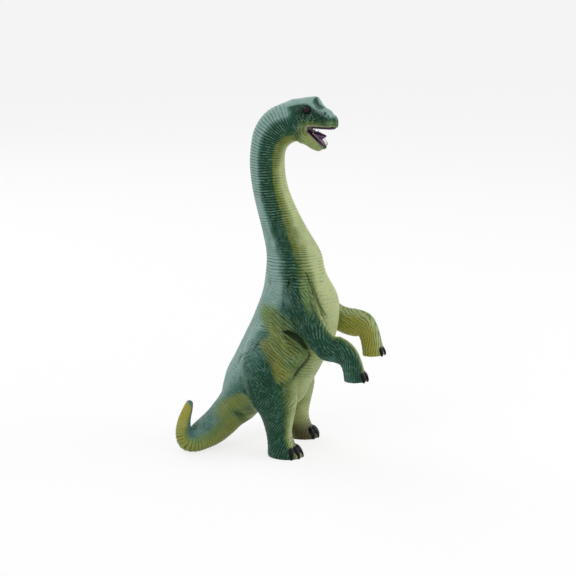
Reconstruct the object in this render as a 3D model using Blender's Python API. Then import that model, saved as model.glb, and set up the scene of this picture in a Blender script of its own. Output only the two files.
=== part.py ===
"""Toy dinosaur figure: a rearing long-necked sauropod that stands on two feet and its tail.

The figure faces +X and its own right side is at -Y. The origin is on the floor, under the middle
of the figure. The trunk and neck are two thin half shells glued on the mid-plane. The head, the
lower jaw, the tail, the tail tip and the hind legs are plugged in and glued. Each foreleg swivels
on a headed pin that runs in a flanged bush inside the chest.
"""

import math
from collections import namedtuple

import bmesh
import bpy
from mathutils import Matrix, Vector

# Overall sizes, in metres
figure_height = 0.300        # floor to the top of the head, also the scale of the side view
body_depth = 0.072           # greatest thickness of the trunk, belly to back
body_width = 0.062           # greatest width of the trunk
head_depth = 0.034           # greatest height of a head section before the mouth is cut
head_width = 0.0250          # greatest width of the head
jaw_depth = 0.0154           # greatest thickness of a jaw section before the mouth is cut
jaw_width = 0.0228           # greatest width of the lower jaw
tail_thickness = 0.0320      # thickness of the tail behind the trunk
hind_leg_depth = 0.044       # greatest front-to-back size of the thigh
hind_leg_width = 0.031       # greatest side-to-side size of the thigh
hip_spread = 0.0285          # mid-plane to the middle of each hind leg
foreleg_depth = 0.0226       # greatest thickness of the foreleg seen from the side
foreleg_width = 0.020        # greatest side-to-side size of the foreleg

# Shells and clearances
shell_wall = 0.0028          # wall of the trunk and neck
fit_gap = 0.0003             # clearance between pieces that touch or run in each other
overrun = 0.004              # how far a cutter runs past what it cuts
core_inset = 0.0012          # how far inner bosses stop short of the outer skin

# Shoulder swivel
shoulder_plane = 0.0225      # mid-plane to the flat inner face of each foreleg
shoulder_pin_radius = 0.0026
shoulder_pin_head_radius = 0.0052
shoulder_pin_head_thickness = 0.0020
shoulder_socket_depth = 0.0070
bush_wall = 0.0015
bush_flange = 0.0016         # how far the bush's flange stands out past its sleeve
bush_flange_thickness = 0.0012
bush_length = 0.0120
shoulder_boss_wall = 0.0025
pocket_radius = 0.0192       # flat seat on the chest round the swivel axis
pocket_reach = 0.080         # how far the flat seat runs out under the swinging foreleg
swing_back = math.radians(10)
swing_up = math.radians(75)
seat_reach_share = 2.0       # how far the seat's outer corner runs out, as a share of its reach

# Hip plugs
hip_peg_radius = 0.0070
hip_peg_inner = 0.0140       # mid-plane to the inner end of the hip plug
hip_boss_wall = 0.0030

# Posts that line up the two half shells
post_radius = 0.0042
post_peg_radius = 0.0020
post_peg_length = 0.0050

# Tail tip plug
tip_peg_radius = 0.0042
tip_peg_length = 0.0070

# Head fittings
eye_radius = 0.0030
eye_sunk_share = 0.62        # share of the eye's radius that its centre lies under the skin
lining_thickness = 0.0010
roof_lining_setback = 0.0040   # mouth corner to the roof lining's near edge
floor_lining_setback = 0.0030  # mouth corner to the floor lining's near edge
lip_margin = 0.0011          # how far the mouth linings stay inside the lips
tongue_width = 0.0100
tongue_depth = 0.0056

# How finely the surfaces are divided
body_ring_points = 28
limb_ring_points = 18
pin_ring_points = 24
body_steps = 2
limb_steps = 2
dome_rings = 2
dome_angle = math.radians(75)   # how far round a domed end runs before its small flat
seat_arc_steps = 16
eye_segments = 16
eye_rings = 8
sharp_angle = math.radians(40)  # edges steeper than this are shaded sharp

# Places in the side view are shares of the figure's height, forward of and above the origin.
# Depths and widths are shares of the piece's own greatest depth and width. Lean is in degrees:
# it turns the front of a section up.

# forward, up, depth, width, lean
body_shares = (
    (-0.128, 0.110, 0.494, 0.516, -40),
    (-0.106, 0.143, 0.600, 0.680, -33),
    (-0.052, 0.174, 0.940, 0.919, -24),
    (-0.021, 0.228, 0.975, 1.000, -18),
    (0.009, 0.286, 0.990, 0.984, -17),
    (0.0435, 0.362, 1.000, 0.887, -12),
    (0.0592, 0.443, 0.915, 0.790, -4),
    (0.0458, 0.507, 0.722, 0.661, 2),
    (0.0392, 0.567, 0.645, 0.565, 3),
    (0.0150, 0.626, 0.530, 0.500, 6),
    (-0.010, 0.688, 0.458, 0.445, 7),
    (-0.029, 0.750, 0.420, 0.413, 3),
    (-0.0365, 0.811, 0.412, 0.397, 2),
    (-0.0325, 0.859, 0.418, 0.391, -9),
    (-0.019, 0.892, 0.460, 0.391, -25),
    (0.006, 0.917, 0.487, 0.391, -44),
    (0.037, 0.928, 0.495, 0.397, -65),
)

# forward, up, depth, width, lean
head_shares = (
    (0.053, 0.940, 0.965, 1.000, -70),
    (0.073, 0.942, 0.971, 1.008, -73),
    (0.093, 0.943, 1.000, 0.992, -81),
    (0.111, 0.943, 1.000, 0.896, -86),
    (0.124, 0.932, 0.800, 0.800, -87),
    (0.139, 0.9255, 0.615, 0.736, -88),
    (0.150, 0.924, 0.488, 0.608, -89),
    (0.1565, 0.923, 0.282, 0.368, -89),
    (0.1590, 0.923, 0.129, 0.160, -89),
)

# forward, up, depth, width, lean
jaw_shares = (
    (0.073, 0.893, 1.000, 1.000, -128),
    (0.087, 0.887, 0.896, 0.912, -128),
    (0.102, 0.875, 0.792, 0.772, -128),
    (0.115, 0.867, 0.675, 0.649, -126),
    (0.1215, 0.864, 0.500, 0.491, -122),
    (0.1255, 0.8645, 0.260, 0.263, -120),
)

# forward, up, depth, width, lean
tongue_shares = (
    (0.092, 0.896, 0.714, 1.000, -90),
    (0.103, 0.896, 0.821, 1.000, -90),
    (0.115, 0.891, 1.000, 0.840, -90),
    (0.129, 0.894, 0.214, 0.240, -90),
)

# forward, up: the mouth's corner, the front end of its roof and floor, and the jaw's rear edge
mouth_corner_shares = (0.082, 0.909)
mouth_roof_shares = (0.175, 0.9195)
mouth_floor_shares = (0.130, 0.868)
jaw_rear_shares = (0.064, 0.876)
chin_drop_share = 0.060      # how far the mouth cutter runs under the jaw

# forward, up
eye_shares = (0.085, 0.967)

# forward, side, up, thickness, lean, turn: side is positive to the figure's left
tail_shares = (
    (-0.148, -0.016, 0.089, 0.980, -41, 14),
    (-0.168, -0.045, 0.065, 0.920, -45, 32),
    (-0.187, -0.075, 0.049, 0.870, -58, 42),
    (-0.206, -0.102, 0.0392, 0.770, -70, 46),
)
tail_tip_shares = (
    (-0.206, -0.102, 0.0392, 0.770, -70, 46),
    (-0.225, -0.119, 0.0305, 0.650, -86, 40),
    (-0.242, -0.127, 0.035, 0.540, -130, 25),
    (-0.248, -0.129, 0.059, 0.440, -172, 5),
    (-0.245, -0.129, 0.092, 0.350, -188, 0),
    (-0.2345, -0.129, 0.124, 0.275, -197, 0),
    (-0.2290, -0.129, 0.141, 0.216, -198, 0),
)

# forward, out, up, depth, width, lean: out is a share of the hip spread
hind_leg_shares = (
    (-0.030, 0.620, 0.342, 0.500, 0.840, -6),
    (-0.031, 0.700, 0.300, 0.700, 0.980, -6),
    (-0.018, 0.840, 0.243, 0.980, 1.050, -6),
    (0.000, 0.960, 0.193, 1.020, 1.000, -4),
    (0.007, 0.985, 0.157, 0.930, 0.968, -2),
    (0.0185, 0.970, 0.117, 0.665, 0.839, 0),
    (0.0225, 0.950, 0.067, 0.502, 0.729, 0),
    (0.0305, 0.935, 0.030, 0.555, 0.748, 0),
    (0.040, 0.935, 0.010, 0.690, 0.780, 0),
    (0.040, 0.930, 0.000, 0.675, 0.730, 0),
)

# forward, out, up, depth, width, lean: out is a share of the foreleg's width, from the flat seat
right_foreleg_shares = (
    (0.076, -0.150, 0.494, 0.760, 0.860, 4),
    (0.078, -0.150, 0.478, 0.990, 1.120, 2),
    (0.084, -0.080, 0.450, 1.040, 1.180, 6),
    (0.100, 0.100, 0.412, 1.020, 1.100, 24),
    (0.128, 0.300, 0.367, 1.000, 1.020, 38),
    (0.163, 0.400, 0.330, 1.020, 0.960, 58),
    (0.195, 0.420, 0.3250, 1.000, 0.880, 80),
    (0.2195, 0.420, 0.311, 0.880, 0.830, 58),
    (0.2315, 0.410, 0.290, 0.790, 0.780, 25),
    (0.239, 0.405, 0.266, 0.796, 0.780, 8),
    (0.2450, 0.405, 0.241, 0.880, 0.850, 3),
)
left_foreleg_shares = (
    (0.076, -0.150, 0.494, 0.760, 0.860, 4),
    (0.078, -0.150, 0.478, 0.990, 1.120, 2),
    (0.084, -0.080, 0.451, 1.040, 1.180, 6),
    (0.100, 0.100, 0.411, 1.000, 1.100, 30),
    (0.129, 0.300, 0.373, 0.980, 1.020, 50),
    (0.164, 0.400, 0.3540, 1.060, 0.960, 70),
    (0.196, 0.420, 0.3490, 1.080, 0.880, 84),
    (0.2225, 0.420, 0.3420, 0.950, 0.830, 60),
    (0.2355, 0.410, 0.317, 0.820, 0.780, 28),
    (0.2430, 0.405, 0.288, 0.810, 0.780, 14),
    (0.2485, 0.405, 0.259, 0.860, 0.850, 5),
)

# forward, up
shoulder_axis_shares = (0.082, 0.457)
elbow_shares = (0.140, 0.350)
hip_axis_shares = (-0.027, 0.205)
post_place_shares = ((-0.010, 0.330), (0.045, 0.548))

Station = namedtuple("Station", "centre half_depth half_width lean turn")


def clear_scene():
    for item in list(bpy.data.objects):
        bpy.data.objects.remove(item, do_unlink=True)


def place(forward_share, up_share, side=0.0):
    """A point of the side view, moved sideways by a length."""
    return Vector((forward_share * figure_height, side, up_share * figure_height))


def ring_matrix(station):
    """Where a unit circle goes to become one section of a piece."""
    turned = Matrix.Rotation(station.turn, 4, "Z") @ Matrix.Rotation(-station.lean, 4, "Y")
    size = Matrix.Diagonal((station.half_depth, station.half_width, 1, 1))
    return Matrix.Translation(station.centre) @ turned @ size


def normal_of(station):
    turned = Matrix.Rotation(station.turn, 3, "Z") @ Matrix.Rotation(-station.lean, 3, "Y")
    return turned @ Vector((0, 0, 1))


def moved(station, distance):
    """The same section, slid along its own normal."""
    return station._replace(centre=station.centre + normal_of(station) * distance)


def smooth_rows(rows, steps):
    """Rows read from a smooth curve through a table's rows, with so many steps in each gap."""
    padded = [rows[0], *rows, rows[-1]]
    smoothed = []
    for before, start, end, after in zip(padded, padded[1:], padded[2:], padded[3:]):
        for step in range(steps):
            share = step / steps
            smoothed.append(tuple(curve_between(*values, share) for values in zip(before, start, end, after)))
    smoothed.append(tuple(rows[-1]))
    return smoothed


def curve_between(before, start, end, after, share):
    bend = 2 * before - 5 * start + 4 * end - after
    twist = 3 * (start - end) + after - before
    return start + (share * (end - before) + share ** 2 * bend + share ** 3 * twist) / 2


def domed(stations):
    """The stations with a round end past the last one."""
    last = stations[-1]
    bulge = min(last.half_depth, last.half_width)
    ahead = 1 if (last.centre - stations[-2].centre).dot(normal_of(last)) > 0 else -1
    rounded = list(stations)
    for ring in range(1, dome_rings + 1):
        angle = dome_angle * ring / dome_rings
        smaller = last._replace(
            half_depth=last.half_depth * math.cos(angle),
            half_width=last.half_width * math.cos(angle),
        )
        rounded.append(moved(smaller, ahead * bulge * math.sin(angle)))
    return rounded


def loft(stations, ring_points, closed=False):
    """A skin through all the sections, with flat ends, or joined end to end into a tube."""
    mesh = bmesh.new()
    placed = ring_matrix(stations[0])
    bmesh.ops.create_circle(mesh, segments=ring_points, radius=1, matrix=placed)
    first = list(mesh.edges)
    edges = first
    for station in stations[1:]:
        grown = bmesh.ops.extrude_edge_only(mesh, edges=edges)["geom"]
        ring = [item for item in grown if isinstance(item, bmesh.types.BMVert)]
        edges = [
            item for item in grown
            if isinstance(item, bmesh.types.BMEdge) and all(vert in ring for vert in item.verts)
        ]
        following = ring_matrix(station)
        bmesh.ops.transform(mesh, verts=ring, matrix=following @ placed.inverted())
        placed = following
    if closed:
        bmesh.ops.bridge_loops(mesh, edges=first + edges)
    else:
        bmesh.ops.contextual_create(mesh, geom=first)
        bmesh.ops.contextual_create(mesh, geom=edges)
    bmesh.ops.recalc_face_normals(mesh, faces=list(mesh.faces))
    return mesh


def side_prism(points, near, far):
    """A block with a side-view outline, from one distance off the mid-plane to another."""
    mesh = bmesh.new()
    corners = [mesh.verts.new((point.x, near, point.z)) for point in points]
    face = mesh.faces.new(corners)
    grown = bmesh.ops.extrude_face_region(mesh, geom=[face])["geom"]
    lifted = [item for item in grown if isinstance(item, bmesh.types.BMVert)]
    bmesh.ops.translate(mesh, verts=lifted, vec=(0, far - near, 0))
    bmesh.ops.recalc_face_normals(mesh, faces=list(mesh.faces))
    return mesh


def turned(axis_point, side, profile, closed=False):
    """A round piece along a sideways axis."""
    mesh = loft(
        [Station(Vector((0, 0, side * out)), radius, radius, 0, 0) for out, radius in profile],
        pin_ring_points,
        closed,
    )
    upright = Matrix.Rotation(-math.radians(90), 4, "X")
    bmesh.ops.transform(mesh, verts=list(mesh.verts), matrix=upright)
    bmesh.ops.translate(mesh, verts=list(mesh.verts), vec=(axis_point.x, 0, axis_point.z))
    return mesh


def paint(name, colour, roughness):
    material = bpy.data.materials.new(name)
    material.use_nodes = True
    shader = material.node_tree.nodes["Principled BSDF"]
    shader.inputs["Base Color"].default_value = (*colour, 1)
    shader.inputs["Roughness"].default_value = roughness
    return material


def add_piece(name, mesh, material, pivot=None):
    """A finished object; a moving piece has its origin on its pivot."""
    if pivot is not None:
        bmesh.ops.translate(mesh, verts=list(mesh.verts), vec=-pivot)
    data = bpy.data.meshes.new(name)
    mesh.to_mesh(data)
    mesh.free()
    data.materials.append(material)
    data.shade_smooth()
    data.set_sharp_from_angle(angle=sharp_angle)
    piece = bpy.data.objects.new(name, data)
    piece.location = pivot if pivot is not None else (0, 0, 0)
    bpy.context.scene.collection.objects.link(piece)
    return piece


def add_guide(name, mesh):
    """A cutter or a boss: it shapes other pieces and isn't one itself."""
    data = bpy.data.meshes.new(name)
    mesh.to_mesh(data)
    mesh.free()
    guide = bpy.data.objects.new(name, data)
    guide.hide_render = True
    guide.display_type = "WIRE"
    bpy.context.scene.collection.objects.link(guide)
    return guide


def combine(piece, operation, guide):
    step = piece.modifiers.new(guide.name, "BOOLEAN")
    step.operation = operation
    step.solver = "EXACT"
    step.object = guide


def from_rows(shares, depth, width, inset=0.0):
    """Stations on the mid-plane from a table's rows."""
    return [
        Station(
            place(forward, up),
            depth_share * depth / 2 - inset,
            width_share * width / 2 - inset,
            math.radians(lean),
            0,
        )
        for forward, up, depth_share, width_share, lean in shares
    ]


def body_stations(inset=0.0):
    return from_rows(smooth_rows(body_shares, body_steps), body_depth, body_width, inset)


def stretched(stations):
    """The stations with both ends run out along their normals."""
    return [moved(stations[0], -overrun), *stations, moved(stations[-1], overrun)]


def shoulder_point():
    return place(*shoulder_axis_shares)


def hip_point():
    return place(*hip_axis_shares)


def bush_inner():
    """Mid-plane to the inner end of the bush's sleeve."""
    return seat_plane() - bush_length


def seat_plane():
    """Mid-plane to the flat seat on the chest."""
    return shoulder_plane - fit_gap


def bush_radius():
    return shoulder_pin_radius + fit_gap + bush_wall


def heading(angle):
    """The side-view direction at an angle above straight forward."""
    return Vector((math.cos(angle), 0, math.sin(angle)))


def pocket_outline(grow=0.0):
    """The flat seat's outline: a round pad and the sector that the foreleg sweeps."""
    axis = shoulder_point()
    radius = pocket_radius + grow
    elbow = place(*elbow_shares)
    rest = math.atan2(elbow.z - axis.z, elbow.x - axis.x)
    back = rest - swing_back
    up = rest + swing_up
    reach = pocket_reach + grow
    points = []
    start = up + math.radians(90)
    end = back + math.radians(270)
    for step in range(seat_arc_steps + 1):
        angle = start + (end - start) * step / seat_arc_steps
        points.append(axis + heading(angle) * radius)
    low_corner = points[-1] + heading(back) * reach
    outer_corner = axis + heading((back + up) / 2) * reach * seat_reach_share
    high_corner = points[0] + heading(up) * reach
    return [*points, low_corner, outer_corner, high_corner]


def make_core():
    """The space inside the skin that bosses and posts may fill."""
    return add_guide("inner_core", loft(body_stations(core_inset), body_ring_points))


def make_boss(name, core, axis_point, side, near, radius):
    """A round boss from a distance off the mid-plane out to the wall."""
    far = body_width
    boss = add_guide(name, turned(axis_point, side, ((near, radius), (far, radius))))
    combine(boss, "INTERSECT", core)
    return boss


def make_body_half(name, side, material, core):
    """One half of the hollow trunk and neck, with its bosses, seat and bores."""
    half = add_piece(name, loft(body_stations(), body_ring_points), material)
    combine(half, "DIFFERENCE", make_cavity(name, side))
    for boss in make_bosses(name, side, core):
        combine(half, "UNION", boss)
    pocket = side_prism(pocket_outline(), side * seat_plane(), side * body_width)
    combine(half, "DIFFERENCE", add_guide(name + "_pocket", pocket))
    for bore in make_bores(name, side):
        combine(half, "DIFFERENCE", bore)
    combine(half, "INTERSECT", make_half_space(name, side))
    for number, place_shares in enumerate(post_place_shares, 1):
        add_post_peg(half, number, side, place(*place_shares))
    return half


def make_cavity(name, side):
    """The hollow inside, which keeps a full wall behind the flat seat."""
    cavity = add_guide(name + "_cavity", loft(stretched(body_stations(shell_wall)), body_ring_points))
    near = side * (seat_plane() - shell_wall)
    behind_seat = side_prism(pocket_outline(shell_wall), near, side * body_width)
    combine(cavity, "DIFFERENCE", add_guide(name + "_behind_seat", behind_seat))
    return cavity


def make_bosses(name, side, core):
    bosses = [
        make_boss(
            name + "_shoulder_boss", core, shoulder_point(), side, bush_inner(),
            bush_radius() + fit_gap + shoulder_boss_wall,
        ),
        make_boss(
            name + "_hip_boss", core, hip_point(), side, hip_peg_inner - hip_boss_wall,
            hip_peg_radius + fit_gap + hip_boss_wall,
        ),
    ]
    for number, place_shares in enumerate(post_place_shares, 1):
        post = f"{name}_post_{number}"
        bosses.append(make_boss(post, core, place(*place_shares), side, -overrun, post_radius))
    return bosses


def make_bores(name, side):
    shoulder_bore = turned(
        shoulder_point(), side,
        ((bush_inner() - overrun, bush_radius() + fit_gap), (body_width, bush_radius() + fit_gap)),
    )
    hip_bore = turned(
        hip_point(), side,
        ((hip_peg_inner - fit_gap, hip_peg_radius + fit_gap), (body_width, hip_peg_radius + fit_gap)),
    )
    return [
        add_guide(name + "_shoulder_bore", shoulder_bore),
        add_guide(name + "_hip_bore", hip_bore),
    ]


def wide_outline(top_share):
    """A side-view square that runs well past the figure, up to a share of its height."""
    return [place(-1, -1), place(1, -1), place(1, top_share), place(-1, top_share)]


def make_half_space(name, side):
    return add_guide(name + "_side", side_prism(wide_outline(2), 0, side * 2 * body_width))


def add_post_peg(half, number, side, centre):
    """The right half's posts carry pegs, and the left half's posts have the holes for them."""
    if side < 0:
        operation, clearance = "UNION", 0
    else:
        operation, clearance = "DIFFERENCE", fit_gap
    length = post_peg_length + clearance
    radius = post_peg_radius + clearance
    peg = turned(centre, side, ((length, radius), (-length, radius)))
    combine(half, operation, add_guide(f"{half.name}_peg_{number}", peg))


def make_bush(name, side, material):
    """A flanged sleeve that lines the shoulder bore from the inside."""
    inner = bush_inner()
    flange_inner = inner - fit_gap - bush_flange_thickness
    flange_outer = inner - fit_gap
    hole = shoulder_pin_radius + fit_gap
    profile = (
        (flange_inner, hole),
        (flange_inner, bush_radius() + bush_flange),
        (flange_outer, bush_radius() + bush_flange),
        (flange_outer, bush_radius()),
        (seat_plane(), bush_radius()),
        (seat_plane(), hole),
    )
    return add_piece(name, turned(shoulder_point(), side, profile, closed=True), material)


def make_pin(name, side, material):
    """A headed pin: its head sits inside the chest and its plain end in the foreleg."""
    head_outer = bush_inner() - 2 * fit_gap - bush_flange_thickness
    head_inner = head_outer - shoulder_pin_head_thickness
    profile = (
        (head_inner, shoulder_pin_head_radius),
        (head_outer, shoulder_pin_head_radius),
        (head_outer, shoulder_pin_radius),
        (shoulder_plane + shoulder_socket_depth - fit_gap, shoulder_pin_radius),
    )
    pivot = shoulder_point()
    return add_piece(name, turned(pivot, side, profile), material, pivot)


def limb_stations(shares, side, middle, spread, depth, width):
    """Stations of a leg, whose sections lie a distance off the mid-plane."""
    return [
        Station(
            place(forward, up, side * (middle + out * spread)),
            depth_share * depth / 2,
            width_share * width / 2,
            math.radians(lean),
            0,
        )
        for forward, out, up, depth_share, width_share, lean in smooth_rows(shares, limb_steps)
    ]


def make_foreleg(name, side, shares, material):
    """An upper arm with a flat inner face, a forearm held forward and a hand with a flat sole."""
    stations = limb_stations(shares, side, shoulder_plane, foreleg_width, foreleg_depth, foreleg_width)
    upside_down = list(reversed(stations))
    pivot = shoulder_point()
    leg = add_piece(name, loft(domed(upside_down), limb_ring_points), material, pivot)
    inside = side_prism(wide_outline(2), -side * body_width, side * shoulder_plane)
    combine(leg, "DIFFERENCE", add_guide(name + "_inside", inside))
    socket_radius = shoulder_pin_radius + fit_gap
    socket = ((0, socket_radius), (shoulder_plane + shoulder_socket_depth, socket_radius))
    combine(leg, "DIFFERENCE", add_guide(name + "_socket", turned(pivot, side, socket)))
    return leg


def make_hind_leg(name, side, material):
    """A thigh that lies against the trunk, a shin and a foot, with a plug at the hip."""
    stations = limb_stations(hind_leg_shares, side, 0, hip_spread, hind_leg_depth, hind_leg_width)
    upside_down = list(reversed(stations))
    leg = add_piece(name, loft(domed(upside_down), limb_ring_points), material)
    trunk = loft(stretched(body_stations(-fit_gap)), body_ring_points)
    combine(leg, "DIFFERENCE", add_guide(name + "_trunk", trunk))
    outer_end = hip_spread + hind_leg_width / 4
    peg = turned(hip_point(), side, ((hip_peg_inner, hip_peg_radius), (outer_end, hip_peg_radius)))
    combine(leg, "UNION", add_guide(name + "_peg", peg))
    return leg


def make_spigot(name, stations):
    """A plug that fills the end of the hollow body."""
    return add_guide(name, loft(stations, body_ring_points))


def make_tail(material):
    """The thick part of the tail, plugged into the trunk."""
    seam = moved(body_stations()[0], -fit_gap)
    stations = [seam, *tail_stations(tail_shares)]
    tail = add_piece("tail", loft(stations, body_ring_points), material)
    inner = body_stations(shell_wall + fit_gap)
    root = moved(inner[0], -overrun)
    combine(tail, "UNION", make_spigot("tail_spigot", [root, *inner[: body_steps + 1]]))
    return cut_tip_bore(tail)


def tail_stations(shares):
    return [
        Station(
            place(forward, up, side * figure_height),
            size * tail_thickness / 2,
            size * tail_thickness / 2,
            math.radians(lean),
            math.radians(turn),
        )
        for forward, side, up, size, lean, turn in smooth_rows(shares, limb_steps)
    ]


def tip_plug(radius, length, start):
    """A round plug square to the tail's end section."""
    end = tail_stations(tail_shares)[-1]._replace(half_depth=radius, half_width=radius)
    return loft([moved(end, -start), moved(end, length)], pin_ring_points)


def cut_tip_bore(tail):
    bore = tip_plug(tip_peg_radius + fit_gap, tip_peg_length + fit_gap, overrun)
    combine(tail, "DIFFERENCE", add_guide("tail_tip_bore", bore))
    return tail


def make_tail_tip(material):
    """The end of the tail, which bends on the floor and stands up."""
    stations = tail_stations(tail_tip_shares)
    stations[0] = moved(stations[0], -fit_gap)
    tip = add_piece("tail_tip", loft(domed(stations), limb_ring_points), material)
    peg = tip_plug(tip_peg_radius, tip_peg_length, overrun)
    combine(tip, "UNION", add_guide("tail_tip_peg", peg))
    floor = side_prism(wide_outline(0), -figure_height, figure_height)
    combine(tip, "DIFFERENCE", add_guide("floor", floor))
    return tip


def mouth_corner():
    return place(*mouth_corner_shares)


def below(point):
    """A point under the jaw, as far down as the mouth cutter runs."""
    return Vector((point.x, 0, point.z - chin_drop_share * figure_height))


def make_head(material):
    """The skull and upper jaw, with a plug for the neck and sockets for the eyes."""
    seam = moved(body_stations()[-1], fit_gap)
    rows = from_rows(smooth_rows(head_shares, limb_steps), head_depth, head_width)
    head = add_piece("head", loft([seam, *rows], body_ring_points), material)
    mouth = [mouth_corner(), place(*mouth_roof_shares), below(place(*mouth_roof_shares)),
             below(place(*jaw_rear_shares)), place(*jaw_rear_shares)]
    combine(head, "DIFFERENCE", add_guide("mouth", side_prism(mouth, -head_width, head_width)))
    inner = body_stations(shell_wall + fit_gap)
    root = moved(inner[-1], overrun)
    combine(head, "UNION", make_spigot("head_spigot", [*inner[-body_steps - 1:], root]))
    for word, side in (("right", -1), ("left", 1)):
        socket = eye_ball(side, eye_radius + fit_gap)
        combine(head, "DIFFERENCE", add_guide(word + "_eye_socket", socket))
    return head


def eye_ball(side, radius):
    mesh = bmesh.new()
    out = head_width / 2 - eye_sunk_share * eye_radius
    centre = place(*eye_shares, side * out)
    bmesh.ops.create_uvsphere(
        mesh, u_segments=eye_segments, v_segments=eye_rings, radius=radius,
        matrix=Matrix.Translation(centre),
    )
    return mesh


def make_eye(name, side, material):
    return add_piece(name, eye_ball(side, eye_radius), material)


def jaw_stations(inset=0.0):
    return from_rows(smooth_rows(jaw_shares, limb_steps), jaw_depth, jaw_width, inset)


def forward_by(point, distance):
    return point + Vector((distance, 0, 0))


def floor_slope():
    """The direction in which the mouth's floor runs forward."""
    return (place(*mouth_floor_shares) - mouth_corner()).normalized()


def jaw_outline(lift=0.0):
    """The side view of the space under the mouth's floor, in front of the skull."""
    gap = 2 * fit_gap
    rear = place(*jaw_rear_shares)
    past_front = place(*mouth_floor_shares) + floor_slope() * jaw_width
    raised = Vector((0, 0, lift))
    return [
        forward_by(mouth_corner(), gap) + raised,
        past_front + raised,
        below(past_front),
        below(forward_by(rear, gap)),
        forward_by(rear, gap),
    ]


def make_lower_jaw(material):
    """The lower jaw, cut flat behind and on top."""
    jaw = add_piece("lower_jaw", loft(jaw_stations(), body_ring_points), material)
    space = side_prism(jaw_outline(), -jaw_width, jaw_width)
    combine(jaw, "INTERSECT", add_guide("jaw_space", space))
    return jaw


def slab(start, end, thickness, direction):
    """The outline of a thin plate along the mouth's roof or floor."""
    lift = Vector((0, 0, direction))
    near = lift * fit_gap
    far = lift * (fit_gap + thickness)
    return [start + near, end + near, end + far, start + far]


def make_upper_lining(material):
    """The coloured roof of the mouth."""
    rows = from_rows(smooth_rows(head_shares, limb_steps), head_depth, head_width, lip_margin)
    lining = add_piece("upper_mouth_lining", loft(rows, body_ring_points), material)
    start = forward_by(mouth_corner(), roof_lining_setback)
    outline = slab(start, place(*mouth_roof_shares), lining_thickness, -1)
    combine(lining, "INTERSECT", add_guide("roof_slab", side_prism(outline, -head_width, head_width)))
    return lining


def make_lower_lining(material):
    """The coloured floor of the mouth, with the tongue."""
    lining = add_piece("lower_mouth_lining", loft(jaw_stations(lip_margin), body_ring_points), material)
    start = mouth_corner() + floor_slope() * floor_lining_setback
    end = place(*mouth_floor_shares) + floor_slope() * jaw_width
    outline = slab(start, end, lining_thickness, 1)
    combine(lining, "INTERSECT", add_guide("floor_slab", side_prism(outline, -jaw_width, jaw_width)))
    rows = from_rows(smooth_rows(tongue_shares, limb_steps), tongue_depth, tongue_width)
    combine(lining, "UNION", add_guide("tongue", loft(rows, limb_ring_points)))
    under = side_prism(jaw_outline(fit_gap), -jaw_width, jaw_width)
    combine(lining, "DIFFERENCE", add_guide("under_floor", under))
    return lining


def build_figure():
    clear_scene()
    green = paint("green_skin", (0.08, 0.22, 0.16), 0.5)
    olive = paint("olive_skin", (0.30, 0.33, 0.07), 0.5)
    purple = paint("mouth_paint", (0.16, 0.05, 0.16), 0.35)
    glossy = paint("eye_paint", (0.12, 0.02, 0.01), 0.1)
    nylon = paint("pin_nylon", (0.75, 0.75, 0.72), 0.4)
    core = make_core()
    make_body_half("body_right_half", -1, green, core)
    make_body_half("body_left_half", 1, green, core)
    make_head(green)
    make_lower_jaw(olive)
    make_upper_lining(purple)
    make_lower_lining(purple)
    make_tail(green)
    make_tail_tip(olive)
    for word, side, foreleg_shares in (
        ("right", -1, right_foreleg_shares),
        ("left", 1, left_foreleg_shares),
    ):
        make_eye(word + "_eye", side, glossy)
        make_hind_leg(word + "_hind_leg", side, green)
        make_foreleg(word + "_foreleg", side, foreleg_shares, green)
        make_pin(word + "_shoulder_pin", side, nylon)
        make_bush(word + "_shoulder_bush", side, nylon)


build_figure()
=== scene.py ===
"""Looks of a toy dinosaur figure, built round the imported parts.

The skin is one smooth form that runs over the trunk, neck, head, limbs and tail. Folds and rings are
moulded into it, and it is then cut along the joints into one closed piece for each part. Paint masks
are kept on the skin as attributes, and the materials mix the sprayed colours from them.
"""

import math
from collections import namedtuple
from itertools import product

import bmesh
import bpy
import numpy as np
from mathutils import Matrix, Vector
from mathutils.kdtree import KDTree


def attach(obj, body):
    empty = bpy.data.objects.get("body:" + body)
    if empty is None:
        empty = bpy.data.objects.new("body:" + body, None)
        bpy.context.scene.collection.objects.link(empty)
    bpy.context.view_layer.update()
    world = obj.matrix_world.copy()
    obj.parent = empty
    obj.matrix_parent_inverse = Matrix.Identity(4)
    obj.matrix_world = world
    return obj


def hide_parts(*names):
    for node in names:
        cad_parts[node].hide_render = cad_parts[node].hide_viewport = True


bl_info = {
    "name": "Rearing Dinosaur Figure",
    "version": (1, 0, 0),
    "blender": (4, 5, 0),
    "location": "3D View > Sidebar > Figure",
    "description": "Moulds and paints the skin of a rearing long-necked toy dinosaur",
    "category": "Object",
}

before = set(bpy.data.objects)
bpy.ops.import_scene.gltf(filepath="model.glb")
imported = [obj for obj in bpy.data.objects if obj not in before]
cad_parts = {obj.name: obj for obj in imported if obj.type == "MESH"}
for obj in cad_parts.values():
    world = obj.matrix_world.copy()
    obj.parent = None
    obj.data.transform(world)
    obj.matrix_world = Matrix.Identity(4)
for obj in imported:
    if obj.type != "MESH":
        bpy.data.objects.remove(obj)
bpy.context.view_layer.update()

# Main sizes, in metres, the same as the solid parts
figure_height = 0.300
body_depth = 0.072
body_width = 0.062
head_depth = 0.034
head_width = 0.0250
jaw_depth = 0.0154
jaw_width = 0.0228
tail_thickness = 0.0320
hind_leg_depth = 0.044
hind_leg_width = 0.031
hip_spread = 0.0285
foreleg_depth = 0.0226
foreleg_width = 0.020
shoulder_plane = 0.0225      # mid-plane to the flat inner face of each foreleg
seat_plane = 0.0222          # mid-plane to the flat seat on the chest
seat_radius = 0.0158
disc_radius = 0.0154         # the foreleg's own round of skin over its swivel
dish_rim = 0.0007            # the same round the top of the swivel, where the skin stays flush
dish_blend = 0.0005
dish_width = 0.0090
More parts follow.
